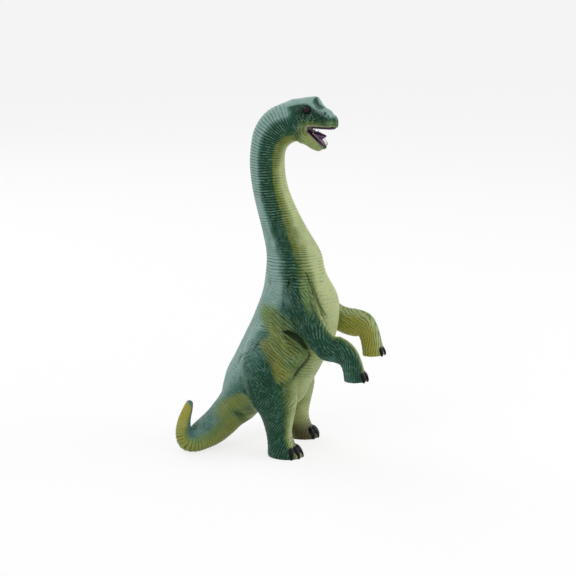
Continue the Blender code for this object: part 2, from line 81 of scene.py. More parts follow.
dish_height = 0.0070         # how far the chest rises round the seat, over the dish's width
seat_reach = 0.080
socket_radius = 0.0029
socket_depth = 0.0070
eye_radius = 0.0030
eye_sunk_share = 0.62
swing_back = math.radians(10)
swing_up = math.radians(75)

# How finely the skin is made
ring_points = 64
steps_between_rows = 6
dome_rings = 5

# The studio's light: strength of the room's light, and how white the floor glows where it is seen
room_light = 0.62
floor_glow = 0.76
floor_radius = 16

# Lamps: name, place, size across and power
lamps = (
    ("rear_lamp", (-1.1, 0.7, 1.3), 1.2, 8.0),
    ("key_lamp", (-0.5, -1.3, 1.5), 1.2, 6.0),
    ("front_lamp", (1.3, 0.3, 1.0), 1.2, 8.0),
)

# The camera of the photograph's view: how far round from the figure's right side, and how far above
camera_round = math.radians(16)
camera_above = math.radians(13.5)
camera_distance = 1.220
camera_target = (0.0069, 0, 0.139)
camera_lens = 90.74
camera_clip = (0.05, 60)

# Fine relief that the materials add, and how far their networks of lines wander
skin_relief = 0.00022
mouth_relief = 0.00012
eye_relief = 0.00003
nylon_relief = 0.00006
wire_wander = 0.0060
crack_wander = 0.0050

# How far folds stray, and the size of the lumps of noise that move them or break them up
fold_strays = (0.0016, 0.0006)
hatch_lumps = (0.006, 0.0022)
hatch_region_lump = 0.010
slant_lumps = (0.012, 0.003)
ring_lumps = (0.014, 0.0042)
stroke_lumps = (0.011, 0.0040)
patchy_lump = 0.0050
spray_lumps = (0.007, 0.0025)

# Fold sizes on single parts of the skin
belly_plate_pitch = 0.0034
flank_fold_pitch = 0.0021
flank_fold_length = 0.012
swirl_pitch = 0.0023
swirl_stray = 0.0010
swirl_lump = 0.008
swirl_range = (0.012, 0.020)
eye_fold_pitch = 0.00185
cheek_fold_pitch = 0.0024
cheek_range = (0.011, 0.017)
cheek_middle_range = (0.0030, 0.0045)
pore_pitch = 0.0014
eye_fold_height = 0.00050
cheek_fold_height = 0.00042
pore_height = 0.00022
lid_height = 0.0011
head_groove_depth = 0.0030
head_groove_width = 0.0030
head_ridge_height = 0.0020
head_ridge_width = 0.0034
head_paint_length = 0.008
# Depth at which a head groove is painted fully dark, as painted shade
groove_shade_depth = 0.0009

# Distance along a limb from its root where its folds or paint start to change, and where the change ends
tail_root_range = (0.030, 0.055)
tail_ring_range = (0.060, 0.100)
tail_end_range = (0.070, 0.110)
tail_bend_range = (0.050, 0.086)
tail_tip_range = (0.112, 0.135)
tail_grey_range = (0.164, 0.186)
hind_leg_start_range = (0.022, 0.074)
shin_range = (0.050, 0.072)
shin_stroke_range = (0.050, 0.085)
foreleg_start_range = (0.006, 0.040)
hand_range = (0.055, 0.075)
hand_paint_range = (0.070, 0.100)

# Height above the floor where the skin's joins stop being smoothed, and where the feet's brown paint and
# painted shadow end
sole_range = (0.006, 0.012)
foot_shade_range = (0.006, 0.024)

# Distance off the mouth's lines, and behind its corner, where the lining's paint ends
mouth_paint_range = (0.0010, 0.0020)
mouth_corner_paint_range = (0.0005, 0.002)
eye_shade_range = (0.0034, 0.0048)
lip_width = 0.0026

# Nails: half width, half height and how far each stands proud, its height on the foot and its lean in degrees
Nail = namedtuple("Nail", "width height proud lift tilt")
hind_nail = Nail(0.0031, 0.0058, 0.0028, 0.0044, 14)
fore_nail = Nail(0.0024, 0.0046, 0.0022, 0.0036, 10)
hind_nail_angles = (-34, -4, 26, 56)
fore_nail_angles = (-32, 2, 36)
nail_ring_share = 0.84

# Sleeves that the skin is cut with: how far they stand off the skin and run past its ends
tail_sleeve = 0.0035
hind_leg_sleeve = (0.0014, 0.0045)
foreleg_sleeve = (0.0012, 0.0045)
sleeve_overrun = 0.006
core_overrun = 0.004
core_inset = 0.0012
sole_overrun = 0.0015

# Teeth and linings
tooth_pitch = 0.00155
tooth_radius = 0.00062
tooth_blend_radius = 0.00082
tooth_length = 0.00125
tooth_root = 0.0008
tooth_paint_range = (0.0003, 0.0006)
tooth_inset = 0.0019
first_tooth_run = 0.0045
lining_grain = 0.00019
lining_ripple_pitch = 0.0011
lining_ripple_height = 0.00010
eye_gap = 0.00004

# Places in the side view are shares of the figure's height, forward of and above the origin.
# Depths and widths are shares of the piece's own greatest depth and width. Lean is in degrees.
# forward, up, depth, width, lean
body_shares = (
    (-0.128, 0.11, 0.494, 0.516, -40),
    (-0.106, 0.143, 0.6, 0.68, -33),
    (-0.052, 0.174, 0.94, 0.919, -24),
    (-0.021, 0.228, 0.975, 1.0, -18),
    (0.009, 0.286, 0.99, 0.984, -17),
    (0.0435, 0.362, 1.0, 0.887, -12),
    (0.0592, 0.443, 0.915, 0.79, -4),
    (0.0458, 0.507, 0.722, 0.661, 2),
    (0.0392, 0.567, 0.645, 0.565, 3),
    (0.015, 0.626, 0.53, 0.5, 6),
    (-0.01, 0.688, 0.458, 0.445, 7),
    (-0.029, 0.75, 0.42, 0.413, 3),
    (-0.0365, 0.811, 0.412, 0.397, 2),
    (-0.0325, 0.859, 0.418, 0.391, -9),
    (-0.019, 0.892, 0.46, 0.391, -25),
    (0.006, 0.917, 0.487, 0.391, -44),
    (0.037, 0.928, 0.495, 0.397, -65),
)
head_shares = (
    (0.053, 0.94, 0.965, 1.0, -70),
    (0.073, 0.942, 0.971, 1.008, -73),
    (0.093, 0.943, 1.0, 0.992, -81),
    (0.11, 0.943, 1.0, 0.896, -86),
    (0.122, 0.934, 0.83, 0.8, -87),
    (0.133, 0.93, 0.71, 0.74, -88),
    (0.14, 0.9295, 0.655, 0.69, -88),
    (0.1452, 0.9297, 0.59, 0.59, -88),
    (0.1484, 0.93, 0.51, 0.47, -89),
    (0.1502, 0.9303, 0.42, 0.35, -89),
)
jaw_shares = (
    (0.073, 0.893, 1.0, 1.0, -128),
    (0.087, 0.887, 0.896, 0.912, -128),
    (0.102, 0.875, 0.792, 0.772, -128),
    (0.115, 0.867, 0.675, 0.649, -126),
    (0.1215, 0.864, 0.5, 0.491, -122),
    (0.1255, 0.8645, 0.26, 0.263, -120),
)
mouth_roof_shares = (0.175, 0.9175)
lining_corner_shares = (0.082, 0.909)
lining_roof_shares = (0.175, 0.9195)
mouth_floor_shares = (0.13, 0.868)
mouth_floor_start_shares = (0.0875, 0.912)
mouth_roof_start_shares = (0.0895, 0.9225)
jaw_rear_shares = (0.064, 0.876)
eye_shares = (0.085, 0.967)

# forward, side, up, thickness, lean, turn
tail_shares = (
    (-0.128, -0.004, 0.11, 1.13, -40, 4),
    (-0.148, -0.016, 0.089, 0.98, -41, 14),
    (-0.168, -0.045, 0.065, 0.92, -45, 32),
    (-0.187, -0.075, 0.049, 0.87, -58, 42),
    (-0.206, -0.102, 0.0392, 0.77, -70, 46),
    (-0.225, -0.119, 0.0305, 0.65, -86, 40),
    (-0.242, -0.127, 0.035, 0.54, -130, 25),
    (-0.248, -0.129, 0.059, 0.44, -172, 5),
    (-0.245, -0.129, 0.092, 0.35, -188, 0),
    (-0.2345, -0.129, 0.124, 0.275, -197, 0),
    (-0.229, -0.129, 0.141, 0.216, -198, 0),
)
tail_tip_row = 4

# forward, out, up, depth, width, lean
hind_leg_shares = (
    (-0.03, 0.62, 0.342, 0.5, 0.84, -6),
    (-0.031, 0.7, 0.3, 0.7, 0.98, -6),
    (-0.018, 0.84, 0.243, 0.98, 1.05, -6),
    (0.0, 0.96, 0.193, 1.02, 1.0, -4),
    (0.007, 0.985, 0.157, 0.93, 0.968, -2),
    (0.0185, 0.97, 0.117, 0.665, 0.839, 0),
    (0.0225, 0.95, 0.067, 0.502, 0.729, 0),
    (0.0305, 0.935, 0.03, 0.555, 0.748, 0),
    (0.04, 0.935, 0.01, 0.69, 0.78, 0),
    (0.04, 0.93, 0.0, 0.675, 0.73, 0),
)
right_foreleg_shares = (
    (0.076, -0.15, 0.494, 0.76, 0.86, 4),
    (0.078, -0.15, 0.478, 0.99, 1.12, 2),
    (0.084, -0.08, 0.45, 1.04, 1.18, 6),
    (0.1, 0.1, 0.412, 1.02, 1.1, 24),
    (0.128, 0.3, 0.367, 1.0, 1.02, 38),
    (0.163, 0.4, 0.33, 1.02, 0.96, 58),
    (0.195, 0.42, 0.325, 1.0, 0.88, 80),
    (0.2195, 0.42, 0.311, 0.88, 0.83, 58),
    (0.2315, 0.41, 0.29, 0.79, 0.78, 25),
    (0.239, 0.405, 0.266, 0.796, 0.78, 8),
    (0.245, 0.405, 0.241, 0.88, 0.85, 3),
)
left_foreleg_shares = (
    (0.076, -0.15, 0.494, 0.76, 0.86, 4),
    (0.078, -0.15, 0.478, 0.99, 1.12, 2),
    (0.084, -0.08, 0.451, 1.04, 1.18, 6),
    (0.1, 0.1, 0.411, 1.0, 1.1, 30),
    (0.129, 0.3, 0.373, 0.98, 1.02, 50),
    (0.164, 0.4, 0.354, 1.06, 0.96, 70),
    (0.196, 0.42, 0.349, 1.08, 0.88, 84),
    (0.2225, 0.42, 0.342, 0.95, 0.83, 60),
    (0.2355, 0.41, 0.317, 0.82, 0.78, 28),
    (0.243, 0.405, 0.288, 0.81, 0.78, 14),
    (0.2485, 0.405, 0.259, 0.86, 0.85, 5),
)
shoulder_axis_shares = (0.082, 0.457)
elbow_shares = (0.14, 0.35)

Station = namedtuple("Station", "centre half_depth half_width lean turn")
Course = namedtuple("Course", "centres normals fronts sides depths widths runs")
Place = namedtuple("Place", "along front side reach up")


# Grooves and ridges are drawn in the side view as shares of the figure's height, on both sides.
# depth share, width share, line
groove_shares = (
    (1.0, 1.0, ((0.034, 0.362), (0.049, 0.357), (0.063, 0.347), (0.079, 0.332), (0.092, 0.318),
                (0.101, 0.309))),
    (0.34, 0.42, ((0.029, 0.353), (0.05, 0.34), (0.067, 0.318), (0.09, 0.294))),
    (0.62, 0.5, ((0.104, 0.306), (0.106, 0.291), (0.098, 0.276), (0.087, 0.262), (0.077, 0.251),
                 (0.069, 0.239), (0.062, 0.224))),
    (0.4, 0.36, ((0.041, 0.459), (0.036, 0.444), (0.036, 0.43))),
    (0.22, 0.32, ((-0.016, 0.491), (-0.011, 0.479))),
    (0.28, 0.36, ((-0.003, 0.424), (0.014, 0.41), (0.033, 0.399), (0.044, 0.388))),
    (0.3, 0.36, ((-0.005, 0.412), (0.012, 0.396), (0.028, 0.385), (0.043, 0.376))),
    (0.3, 0.36, ((-0.008, 0.399), (0.01, 0.385), (0.026, 0.373), (0.041, 0.367))),
    (0.32, 0.36, ((-0.004, 0.384), (0.012, 0.369), (0.029, 0.357))),
    (0.24, 0.34, ((0.001, 0.368), (0.023, 0.354), (0.044, 0.339), (0.061, 0.317), (0.079, 0.293))),
    (0.22, 0.32, ((0.006, 0.349), (0.027, 0.335), (0.047, 0.317), (0.066, 0.297), (0.076, 0.276))),
    (0.22, 0.32, ((0.001, 0.327), (0.022, 0.313), (0.042, 0.291), (0.06, 0.27), (0.07, 0.251))),
    (0.2, 0.32, ((-0.005, 0.314), (0.014, 0.298), (0.031, 0.279), (0.047, 0.259))),
    (0.2, 0.3, ((0.004, 0.338), (0.025, 0.323), (0.045, 0.304), (0.063, 0.284))),
    (0.34, 0.34, ((-0.101, 0.253), (-0.1, 0.269), (-0.084, 0.286), (-0.058, 0.301))),
    (0.26, 0.3, ((-0.09, 0.25), (-0.084, 0.268), (-0.071, 0.282), (-0.05, 0.292))),
    (0.24, 0.3, ((-0.076, 0.25), (-0.067, 0.268), (-0.051, 0.279), (-0.037, 0.281))),
    (0.26, 0.34, ((-0.026, 0.341), (-0.035, 0.323), (-0.045, 0.306), (-0.054, 0.296))),
    (0.26, 0.34, ((0.012, 0.172), (0.018, 0.164), (0.012, 0.152), (0.0, 0.15))),
)
shoulder_groove_shares = (
    (0.36, 0.36, ((0.078, 0.532), (0.092, 0.52), (0.101, 0.497), (0.11, 0.477), (0.113, 0.457),
                  (0.12, 0.437), (0.132, 0.417), (0.145, 0.396))),
    (0.34, 0.32, ((0.103, 0.505), (0.11, 0.486), (0.119, 0.466), (0.127, 0.443), (0.138, 0.42),
                  (0.15, 0.398))),
    (0.38, 0.34, ((0.052, 0.522), (0.045, 0.5), (0.043, 0.476), (0.052, 0.455), (0.062, 0.434),
                  (0.074, 0.421), (0.092, 0.401), (0.113, 0.378), (0.134, 0.352), (0.145, 0.336))),
    (0.34, 0.32, ((0.058, 0.414), (0.08, 0.39), (0.1, 0.368), (0.122, 0.344), (0.135, 0.33))),
    (0.34, 0.32, ((0.078, 0.42), (0.1, 0.396), (0.121, 0.371), (0.141, 0.346))),
    (0.4, 0.34, ((0.174, 0.354), (0.195, 0.352), (0.218, 0.345))),
    (0.36, 0.34, ((0.154, 0.324), (0.174, 0.317), (0.196, 0.313))),
    (0.34, 0.3, ((0.062, 0.5), (0.06, 0.48), (0.068, 0.455), (0.082, 0.432), (0.098, 0.414))),
    (0.3, 0.3, ((0.08, 0.508), (0.078, 0.486), (0.086, 0.462), (0.1, 0.438), (0.116, 0.42))),
)
head_groove_shares = (
    (0.3, 0.2, ((0.131, 0.962), (0.135, 0.955))),
    (0.24, 0.18, ((0.141, 0.953), (0.144, 0.946))),
    (0.16, 0.16, ((0.104, 0.99), (0.112, 0.982), (0.12, 0.975))),
    (0.14, 0.14, ((0.11, 0.994), (0.118, 0.986), (0.125, 0.979))),
    (0.14, 0.14, ((0.122, 0.957), (0.132, 0.95), (0.14, 0.942))),
    (0.12, 0.14, ((0.114, 0.953), (0.124, 0.946), (0.134, 0.938))),
    (0.12, 0.14, ((0.106, 0.95), (0.114, 0.943), (0.124, 0.936))),
)
head_ridge_shares = (
    (0.3, 0.24, ((0.06, 0.983), (0.078, 0.985), (0.092, 0.983), (0.105, 0.973), (0.118, 0.965),
                 (0.13, 0.957))),
    (0.22, 0.16, ((0.16, 0.9215), (0.143, 0.9225), (0.122, 0.924), (0.102, 0.926), (0.091, 0.926),
                  (0.0855, 0.9225), (0.0835, 0.916), (0.0845, 0.909), (0.0905, 0.9015),
                  (0.101, 0.8905), (0.113, 0.8785), (0.124, 0.8675))),
)

# The sprayed paint runs in steps from the belly round to the back. For some heights on the figure,
# these are the degrees round from the belly at which each step starts and the last one ends.
body_spray_rows = (
    (0.1, 10, 36, 62, 74, 86, 138),
    (0.2, 14, 40, 66, 78, 90, 138),
    (0.35, 22, 46, 68, 80, 92, 128),
    (0.455, 38, 58, 71, 78, 86, 116),
    (0.573, 38, 62, 80, 90, 97, 118),
    (0.685, 27, 49, 68, 86, 103, 120),
    (0.8, 27, 45, 62, 82, 98, 114),
    (0.86, 10, 32, 62, 82, 98, 116),
    (0.93, 5, 30, 62, 80, 100, 116),
)
spray_steps = (0.0, 0.25, 0.5, 0.66, 0.7, 1.0)

# Degrees round a leg from its front, negative on its inner side, and how far through the steps it is
hind_leg_spray = (
    (-180, 0.55), (-150, 0.34), (-90, 0.14), (-20, 0.02), (22, 0.02), (42, 0.32), (60, 0.6), (130, 0.68),
    (165, 0.8), (180, 0.64),
)
foreleg_spray = (
    (-180, 0.36), (-140, 0.28), (-90, 0.2), (-40, 0.1), (0, 0.14), (22, 0.42), (42, 0.6), (90, 0.68),
    (140, 0.76), (165, 0.6), (180, 0.4),
)

# Painted patches in the side view: mask, strength, radius share, line
patch_shares = (
    ("pale", 0.5, 0.017, ((0.01, 0.5), (0.006, 0.465), (-0.008, 0.435))),
    ("flank", 0.75, 0.015, ((0.096, 0.512), (0.099, 0.485), (0.108, 0.455), (0.124, 0.42))),
    ("flank", 0.95, 0.03, ((-0.014, 0.404), (0.02, 0.372), (0.048, 0.325), (0.058, 0.29))),
    ("flank", 0.7, 0.02, ((0.01, 0.35), (0.034, 0.3), (0.05, 0.245))),
    ("warm", 0.3, 0.02, ((0.01, 0.362), (0.036, 0.328), (0.052, 0.3))),
    ("warm", 0.48, 0.017, ((-0.01, 0.325), (0.018, 0.283), (0.038, 0.238))),
    ("flank", 0.72, 0.026, ((-0.15, 0.112), (-0.118, 0.13), (-0.088, 0.144), (-0.066, 0.144))),
    ("warm", 0.34, 0.02, ((-0.15, 0.11), (-0.112, 0.136), (-0.086, 0.15), (-0.066, 0.15))),
)
head_green_edge_shares = (
    (0.0, 0.88), (0.024, 0.898), (0.045, 0.915), (0.068, 0.934), (0.103, 0.943), (0.127, 0.932),
    (0.16, 0.936),
)
cheek_shares = (0.094, 0.914)
# Painted shade in the nostril hollow: strength, radius share, line
nostril_shade_shares = ((1.0, 0.01, ((0.109, 0.991), (0.12, 0.978))),)
paint_masks = (
    "spray", "warm", "flank", "pale", "crest", "fold", "nail", "shade", "mouth", "lip", "made", "phase",
    "ringed", "wire",
)
swirl_shares = (-0.088, 0.262)

# strength, radius share, line
brow_patch_shares = (
    (1.0, 0.013, ((0.02, 0.985), (0.06, 0.993), (0.085, 0.995), (0.104, 0.986), (0.122, 0.972),
                  (0.14, 0.958), (0.158, 0.945))),
)
# Painted shade in the hollow round the eye and at the nostril
eye_shade_patch_shares = (
    (1.0, 0.014, ((0.06, 0.968), (0.085, 0.966), (0.112, 0.955), (0.13, 0.945))),
    (0.9, 0.007, ((0.108, 0.993), (0.117, 0.984), (0.124, 0.977))),
)


# Settings


def length_setting(name, description, default, low, high):
    """A length that can be changed in the sidebar."""
    return bpy.props.FloatProperty(
        name=name, description=description, default=default, min=low, max=high, unit="LENGTH", precision=5,
    )


def paint_setting(name, description, *default):
    """A colour that can be changed in the sidebar."""
    return bpy.props.FloatVectorProperty(
        name=name, description=description, default=default, min=0, max=1, size=3, subtype="COLOR",
    )


class FigureSkin(bpy.types.PropertyGroup):
    """How the moulded skin is shaped."""

    skin_grain: length_setting(
        "Skin grain", "Distance between neighbouring points of the skin", 0.00054, 0.0004, 0.002,
    )
    head_grain: length_setting(
        "Head grain", "Distance between neighbouring points of the head's skin", 0.00036, 0.0002, 0.001,
    )
    ring_pitch: length_setting(
        "Ring pitch", "Distance from ring to ring round the neck", 0.0022, 0.001, 0.01,
    )
    ring_height: length_setting(
        "Ring height", "How far the neck's rings stand proud", 0.00046, 0.0, 0.002,
    )
    hatch_pitch: length_setting(
        "Hatch pitch", "Distance between the short folds on the thighs and shoulders", 0.0021, 0.001, 0.01,
    )
    hatch_height: length_setting(
        "Hatch height", "How far the short folds stand proud", 0.00044, 0.0, 0.002,
    )
    groove_depth: length_setting(
        "Groove depth", "Depth of the deepest drawn fold, behind the foreleg", 0.0026, 0.0, 0.006,
    )
    groove_width: length_setting(
        "Groove width", "Half width of the deepest drawn fold", 0.0021, 0.0005, 0.006,
    )


class FigurePaint(bpy.types.PropertyGroup):
    """The colours of the sprayed and brushed paint."""

    back: paint_setting("Back", "Pale blue-grey along the back", 0.235, 0.372, 0.340)
    teal: paint_setting("Teal", "Where the back's paint meets the green", 0.050, 0.138, 0.105)
    deep: paint_setting("Deep green", "Darkest green, high on the sides", 0.006, 0.054, 0.028)
    green: paint_setting("Green", "Dark green on the sides", 0.016, 0.072, 0.022)
    moss: paint_setting("Moss", "Between the green and the throat's colour", 0.085, 0.130, 0.028)
    flank: paint_setting("Flank", "Soft green behind the forelegs", 0.160, 0.235, 0.075)
    lime: paint_setting("Lime", "Yellow-green of the throat", 0.245, 0.295, 0.096)
    throat: paint_setting("Throat", "Pale yellow-green down the chest", 0.450, 0.500, 0.235)
    olive: paint_setting("Olive", "Warm olive on the flanks and the tail", 0.330, 0.305, 0.034)
    brushed: paint_setting("Brushed", "Light green dry-brushed over the ridges", 0.300, 0.480, 0.380)
    wash: paint_setting("Wash", "What the dark wash in the folds leaves of each colour", 0.22, 0.32, 0.26)
    # The crease colour is painted shade: near-black laid into the deep drawn folds and hollows, darker the
    # deeper they are
    crease_shade: paint_setting("Crease", "Darkest wash, in the deep folds", 0.003, 0.012, 0.006)
    nail: paint_setting("Nail", "Gloss black of the nails", 0.004, 0.004, 0.005)
    mouth: paint_setting("Mouth", "Purple inside the mouth", 0.034, 0.008, 0.040)
    iris: paint_setting("Iris", "Red-brown of the eyes", 0.060, 0.012, 0.008)
    lip: paint_setting("Lip", "Pinkish grey rim round the mouth", 0.330, 0.290, 0.225)
    tongue: paint_setting("Tongue", "Lighter purple streaks on the tongue", 0.105, 0.036, 0.115)
    tooth: paint_setting("Tooth", "Off-white of the teeth", 0.620, 0.600, 0.480)
    # Dark brown paint with painted shadow, low on the inner side of each foot
    umber_and_shadow: paint_setting("Umber", "Dark brown shading on the feet", 0.040, 0.026, 0.010)
    nylon: paint_setting("Nylon", "Natural nylon of the hidden pins and bushes", 0.560, 0.550, 0.500)
    floor: paint_setting("Floor", "White of the studio floor", 0.960, 0.960, 0.960)


def skin_sizes():
    return bpy.context.scene.figure_skin


def paints():
    return bpy.context.scene.figure_paint


# Lofts, blocks and turned pieces


def place(forward_share, up_share, side=0.0):
    """A point of the side view, moved sideways by a length."""
    return Vector((forward_share * figure_height, side, up_share * figure_height))


def turn_of(station):
    return Matrix.Rotation(station.turn, 3, "Z") @ Matrix.Rotation(-station.lean, 3, "Y")


def ring_matrix(station):
    """Where a unit circle goes to become one section of a piece."""
    size = Matrix.Diagonal((station.half_depth, station.half_width, 1, 1))
    return Matrix.Translation(station.centre) @ turn_of(station).to_4x4() @ size


def moved(station, distance):
    """The same section, slid along its own normal."""
    return station._replace(centre=station.centre + turn_of(station) @ Vector((0, 0, distance)))


def grown(stations, distance):
    """The same sections, all larger or smaller by a distance."""
    return [
        station._replace(
            half_depth=station.half_depth + distance,
            half_width=station.half_width + distance,
        )
        for station in stations
    ]


def curve_between(before, start, end, after, share):
    bend = 2 * before - 5 * start + 4 * end - after
    twist = 3 * (start - end) + after - before
    return start + (share * (end - before) + share ** 2 * bend + share ** 3 * twist) / 2


def smooth_rows(rows):
    """Rows read from a smooth curve through a table's rows."""
    padded = [rows[0], *rows, rows[-1]]
    smoothed = []
    for before, start, end, after in zip(padded, padded[1:], padded[2:], padded[3:]):
        for step in range(steps_between_rows):
            share = step / steps_between_rows
            smoothed.append(tuple(curve_between(*values, share) for values in zip(before, start, end, after)))
    smoothed.append(tuple(rows[-1]))
    return smoothed


def middle_stations(shares, depth, width):
    """Stations on the mid-plane from a table's rows."""
    return [
        Station(place(forward, up), depth_share * depth / 2, width_share * width / 2, math.radians(lean), 0)
        for forward, up, depth_share, width_share, lean in smooth_rows(shares)
    ]


def body_stations():
    return middle_stations(body_shares, body_depth, body_width)


def head_stations():
    return middle_stations(head_shares, head_depth, head_width)


def jaw_stations():
    return middle_stations(jaw_shares, jaw_depth, jaw_width)


def tail_stations():
    return [
        Station(
            place(forward, up, side * figure_height),
            size * tail_thickness / 2,
            size * tail_thickness / 2,
            math.radians(lean),
            math.radians(turn),
        )
        for forward, side, up, size, lean, turn in smooth_rows(tail_shares)
    ]


def limb_stations(shares, side, middle, spread, depth, width):
    """Stations of a leg, whose sections lie a distance off the mid-plane."""
    return [
        Station(
            place(forward, up, side * (middle + out * spread)),
            depth_share * depth / 2,
            width_share * width / 2,
            math.radians(lean),
            0,
        )
        for forward, out, up, depth_share, width_share, lean in smooth_rows(shares)
    ]


def hind_leg_stations(side):
    return limb_stations(hind_leg_shares, side, 0, hip_spread, hind_leg_depth, hind_leg_width)


def foreleg_stations(shares, side):
    return limb_stations(shares, side, shoulder_plane, foreleg_width, foreleg_depth, foreleg_width)


def domed(stations):
    """The stations with a round end past the last one."""
    last = stations[-1]
    bulge = min(last.half_depth, last.half_width)
    ahead = 1 if (last.centre - stations[-2].centre).dot(turn_of(last) @ Vector((0, 0, 1))) > 0 else -1
    rounded = list(stations)
    for ring in range(1, dome_rings + 1):
        angle = math.radians(90) * ring / (dome_rings + 1)
        smaller = last._replace(
            half_depth=last.half_depth * math.cos(angle),
            half_width=last.half_width * math.cos(angle),
        )
        rounded.append(moved(smaller, ahead * bulge * math.sin(angle)))
    return rounded


def loft(stations, points=ring_points):
    """A closed skin through all the sections, with flat ends."""
    mesh = bmesh.new()
    placed = ring_matrix(stations[0])
    bmesh.ops.create_circle(mesh, segments=points, radius=1, matrix=placed)
    first = list(mesh.edges)
    edges = first
    for station in stations[1:]:
        grown_parts = bmesh.ops.extrude_edge_only(mesh, edges=edges)["geom"]
        ring = [item for item in grown_parts if isinstance(item, bmesh.types.BMVert)]
        edges = [
            item for item in grown_parts
            if isinstance(item, bmesh.types.BMEdge) and all(vert in ring for vert in item.verts)
        ]
        following = ring_matrix(station)
        bmesh.ops.transform(mesh, verts=ring, matrix=following @ placed.inverted())
        placed = following
    bmesh.ops.contextual_create(mesh, geom=first)
    bmesh.ops.contextual_create(mesh, geom=edges)
    bmesh.ops.recalc_face_normals(mesh, faces=list(mesh.faces))
    return mesh


def side_prism(points, near, far):
    """A block with a side-view outline, from one distance off the mid-plane to another."""
    mesh = bmesh.new()
    corners = [mesh.verts.new((point.x, near, point.z)) for point in points]
    face = mesh.faces.new(corners)
    lifted = [
        item for item in bmesh.ops.extrude_face_region(mesh, geom=[face])["geom"]
        if isinstance(item, bmesh.types.BMVert)
    ]
    bmesh.ops.translate(mesh, verts=lifted, vec=(0, far - near, 0))
    bmesh.ops.recalc_face_normals(mesh, faces=list(mesh.faces))
    return mesh


def wide_outline(top_share):
    """A side-view square that runs well past the figure, up to a share of its height."""
    return [place(-1, -1), place(1, -1), place(1, top_share), place(-1, top_share)]


def side_cylinder(point, side, near, far, radius):
    """A round bar along a sideways axis."""
    length = far - near
    mesh = bmesh.new()
    upright = Matrix.Rotation(math.radians(90), 4, "X")
    centre = Matrix.Translation((point.x, side * (near + far) / 2, point.z))
    bmesh.ops.create_cone(
        mesh, cap_ends=True, segments=ring_points, radius1=radius, radius2=radius, depth=length,
        matrix=centre @ upright,
    )
    return mesh


def block_past(station, across, deep):
    """A block that starts at a section and fills what lies past it."""
    mesh = bmesh.new()
    size = Matrix.Diagonal((across, across, abs(deep), 1))
    middle = moved(station, deep / 2).centre
    matrix = Matrix.Translation(middle) @ turn_of(station).to_4x4() @ size
    bmesh.ops.create_cube(mesh, size=1, matrix=matrix)
    return mesh


def join_meshes(meshes):
    """One mesh that holds several, each still closed."""
    joined = bmesh.new()
    for mesh in meshes:
        held = bpy.data.meshes.new("held")
        mesh.to_mesh(held)
        mesh.free()
        joined.from_mesh(held)
        bpy.data.meshes.remove(held)
    return joined


# Objects and modifiers


def add_object(name, mesh):
    data = bpy.data.meshes.new(name)
    mesh.to_mesh(data)
    mesh.free()
    item = bpy.data.objects.new(name, data)
    bpy.context.scene.collection.objects.link(item)
    return item


def apply_modifiers(item):
    """Puts what the object's modifiers make into its own mesh."""
    bpy.context.view_layer.update()
    evaluated = item.evaluated_get(bpy.context.evaluated_depsgraph_get())
    made = bpy.data.meshes.new_from_object(evaluated)
    old = item.data
    item.modifiers.clear()
    item.data = made
    bpy.data.meshes.remove(old)


def cut(item, steps):
    """Applies booleans in turn. Each step is an operation and a guide, and the guide is removed."""
    for operation, mesh in steps:
        guide = add_object("guide", mesh)
        step = item.modifiers.new("cut", "BOOLEAN")
        step.operation = operation
        step.solver = "MANIFOLD"
        step.object = guide
        apply_modifiers(item)
        bpy.data.objects.remove(guide, do_unlink=True)


def remesh(item, grain):
    """Makes one even skin round everything in the object."""
    step = item.modifiers.new("skin", "REMESH")
    step.mode = "VOXEL"
    step.voxel_size = grain
    apply_modifiers(item)


def smooth(item, rounds, weights=None):
    """Evens the skin out, all over or where the weights say."""
    step = item.modifiers.new("smooth", "SMOOTH")
    step.factor = 0.5
    step.iterations = rounds
    if weights is not None:
        group = item.vertex_groups.new(name="smooth")
        for index in np.nonzero(weights > 0.02)[0]:
            group.add([int(index)], float(weights[index]), "REPLACE")
        step.vertex_group = group.name
    apply_modifiers(item)
    item.vertex_groups.clear()


def finish_piece(item, body, material, slot, *nodes):
    """Gives a finished piece its paint, smooth shading and body, and hides the imported solids of the nodes
    that it stands for.
    """
    if "made" in item.data.attributes:
        fill_cut_points(item)
    item.data.materials.clear()
    item.data.materials.append(material)
    item.data.shade_smooth()
    item.data.set_sharp_from_angle(angle=math.radians(55))
    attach(item, body)
    if nodes:
        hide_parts(*nodes)
    return item


# Reading where a point of the skin lies


def course_of(stations):
    """The line of a limb as arrays, with its normals pointing along it."""
    centres = np.array([station.centre for station in stations])
    turns = np.array([turn_of(station) for station in stations])
    steps = np.gradient(centres, axis=0)
    signs = np.sign((turns[:, :, 2] * steps).sum(1))
    signs[signs == 0] = 1
    lengths = np.linalg.norm(np.diff(centres, axis=0), axis=1)
    return Course(
        centres,
        turns[:, :, 2] * signs[:, None],
        turns[:, :, 0],
        turns[:, :, 1],
        np.array([station.half_depth for station in stations]),
        np.array([station.half_width for station in stations]),
        np.concatenate([[0], np.cumsum(lengths)]),
    )


def between(values, index, share):
    low, high = values[index], values[index + 1]
    if values.ndim == 2:
        share = share[:, None]
    return low + (high - low) * share


def locate(points, course, batch=20000):
    """Where points lie along and round a limb."""
    found = [locate_batch(points[first:first + batch], course) for first in range(0, len(points), batch)]
    return Place(*(np.concatenate(parts) for parts in zip(*found)))


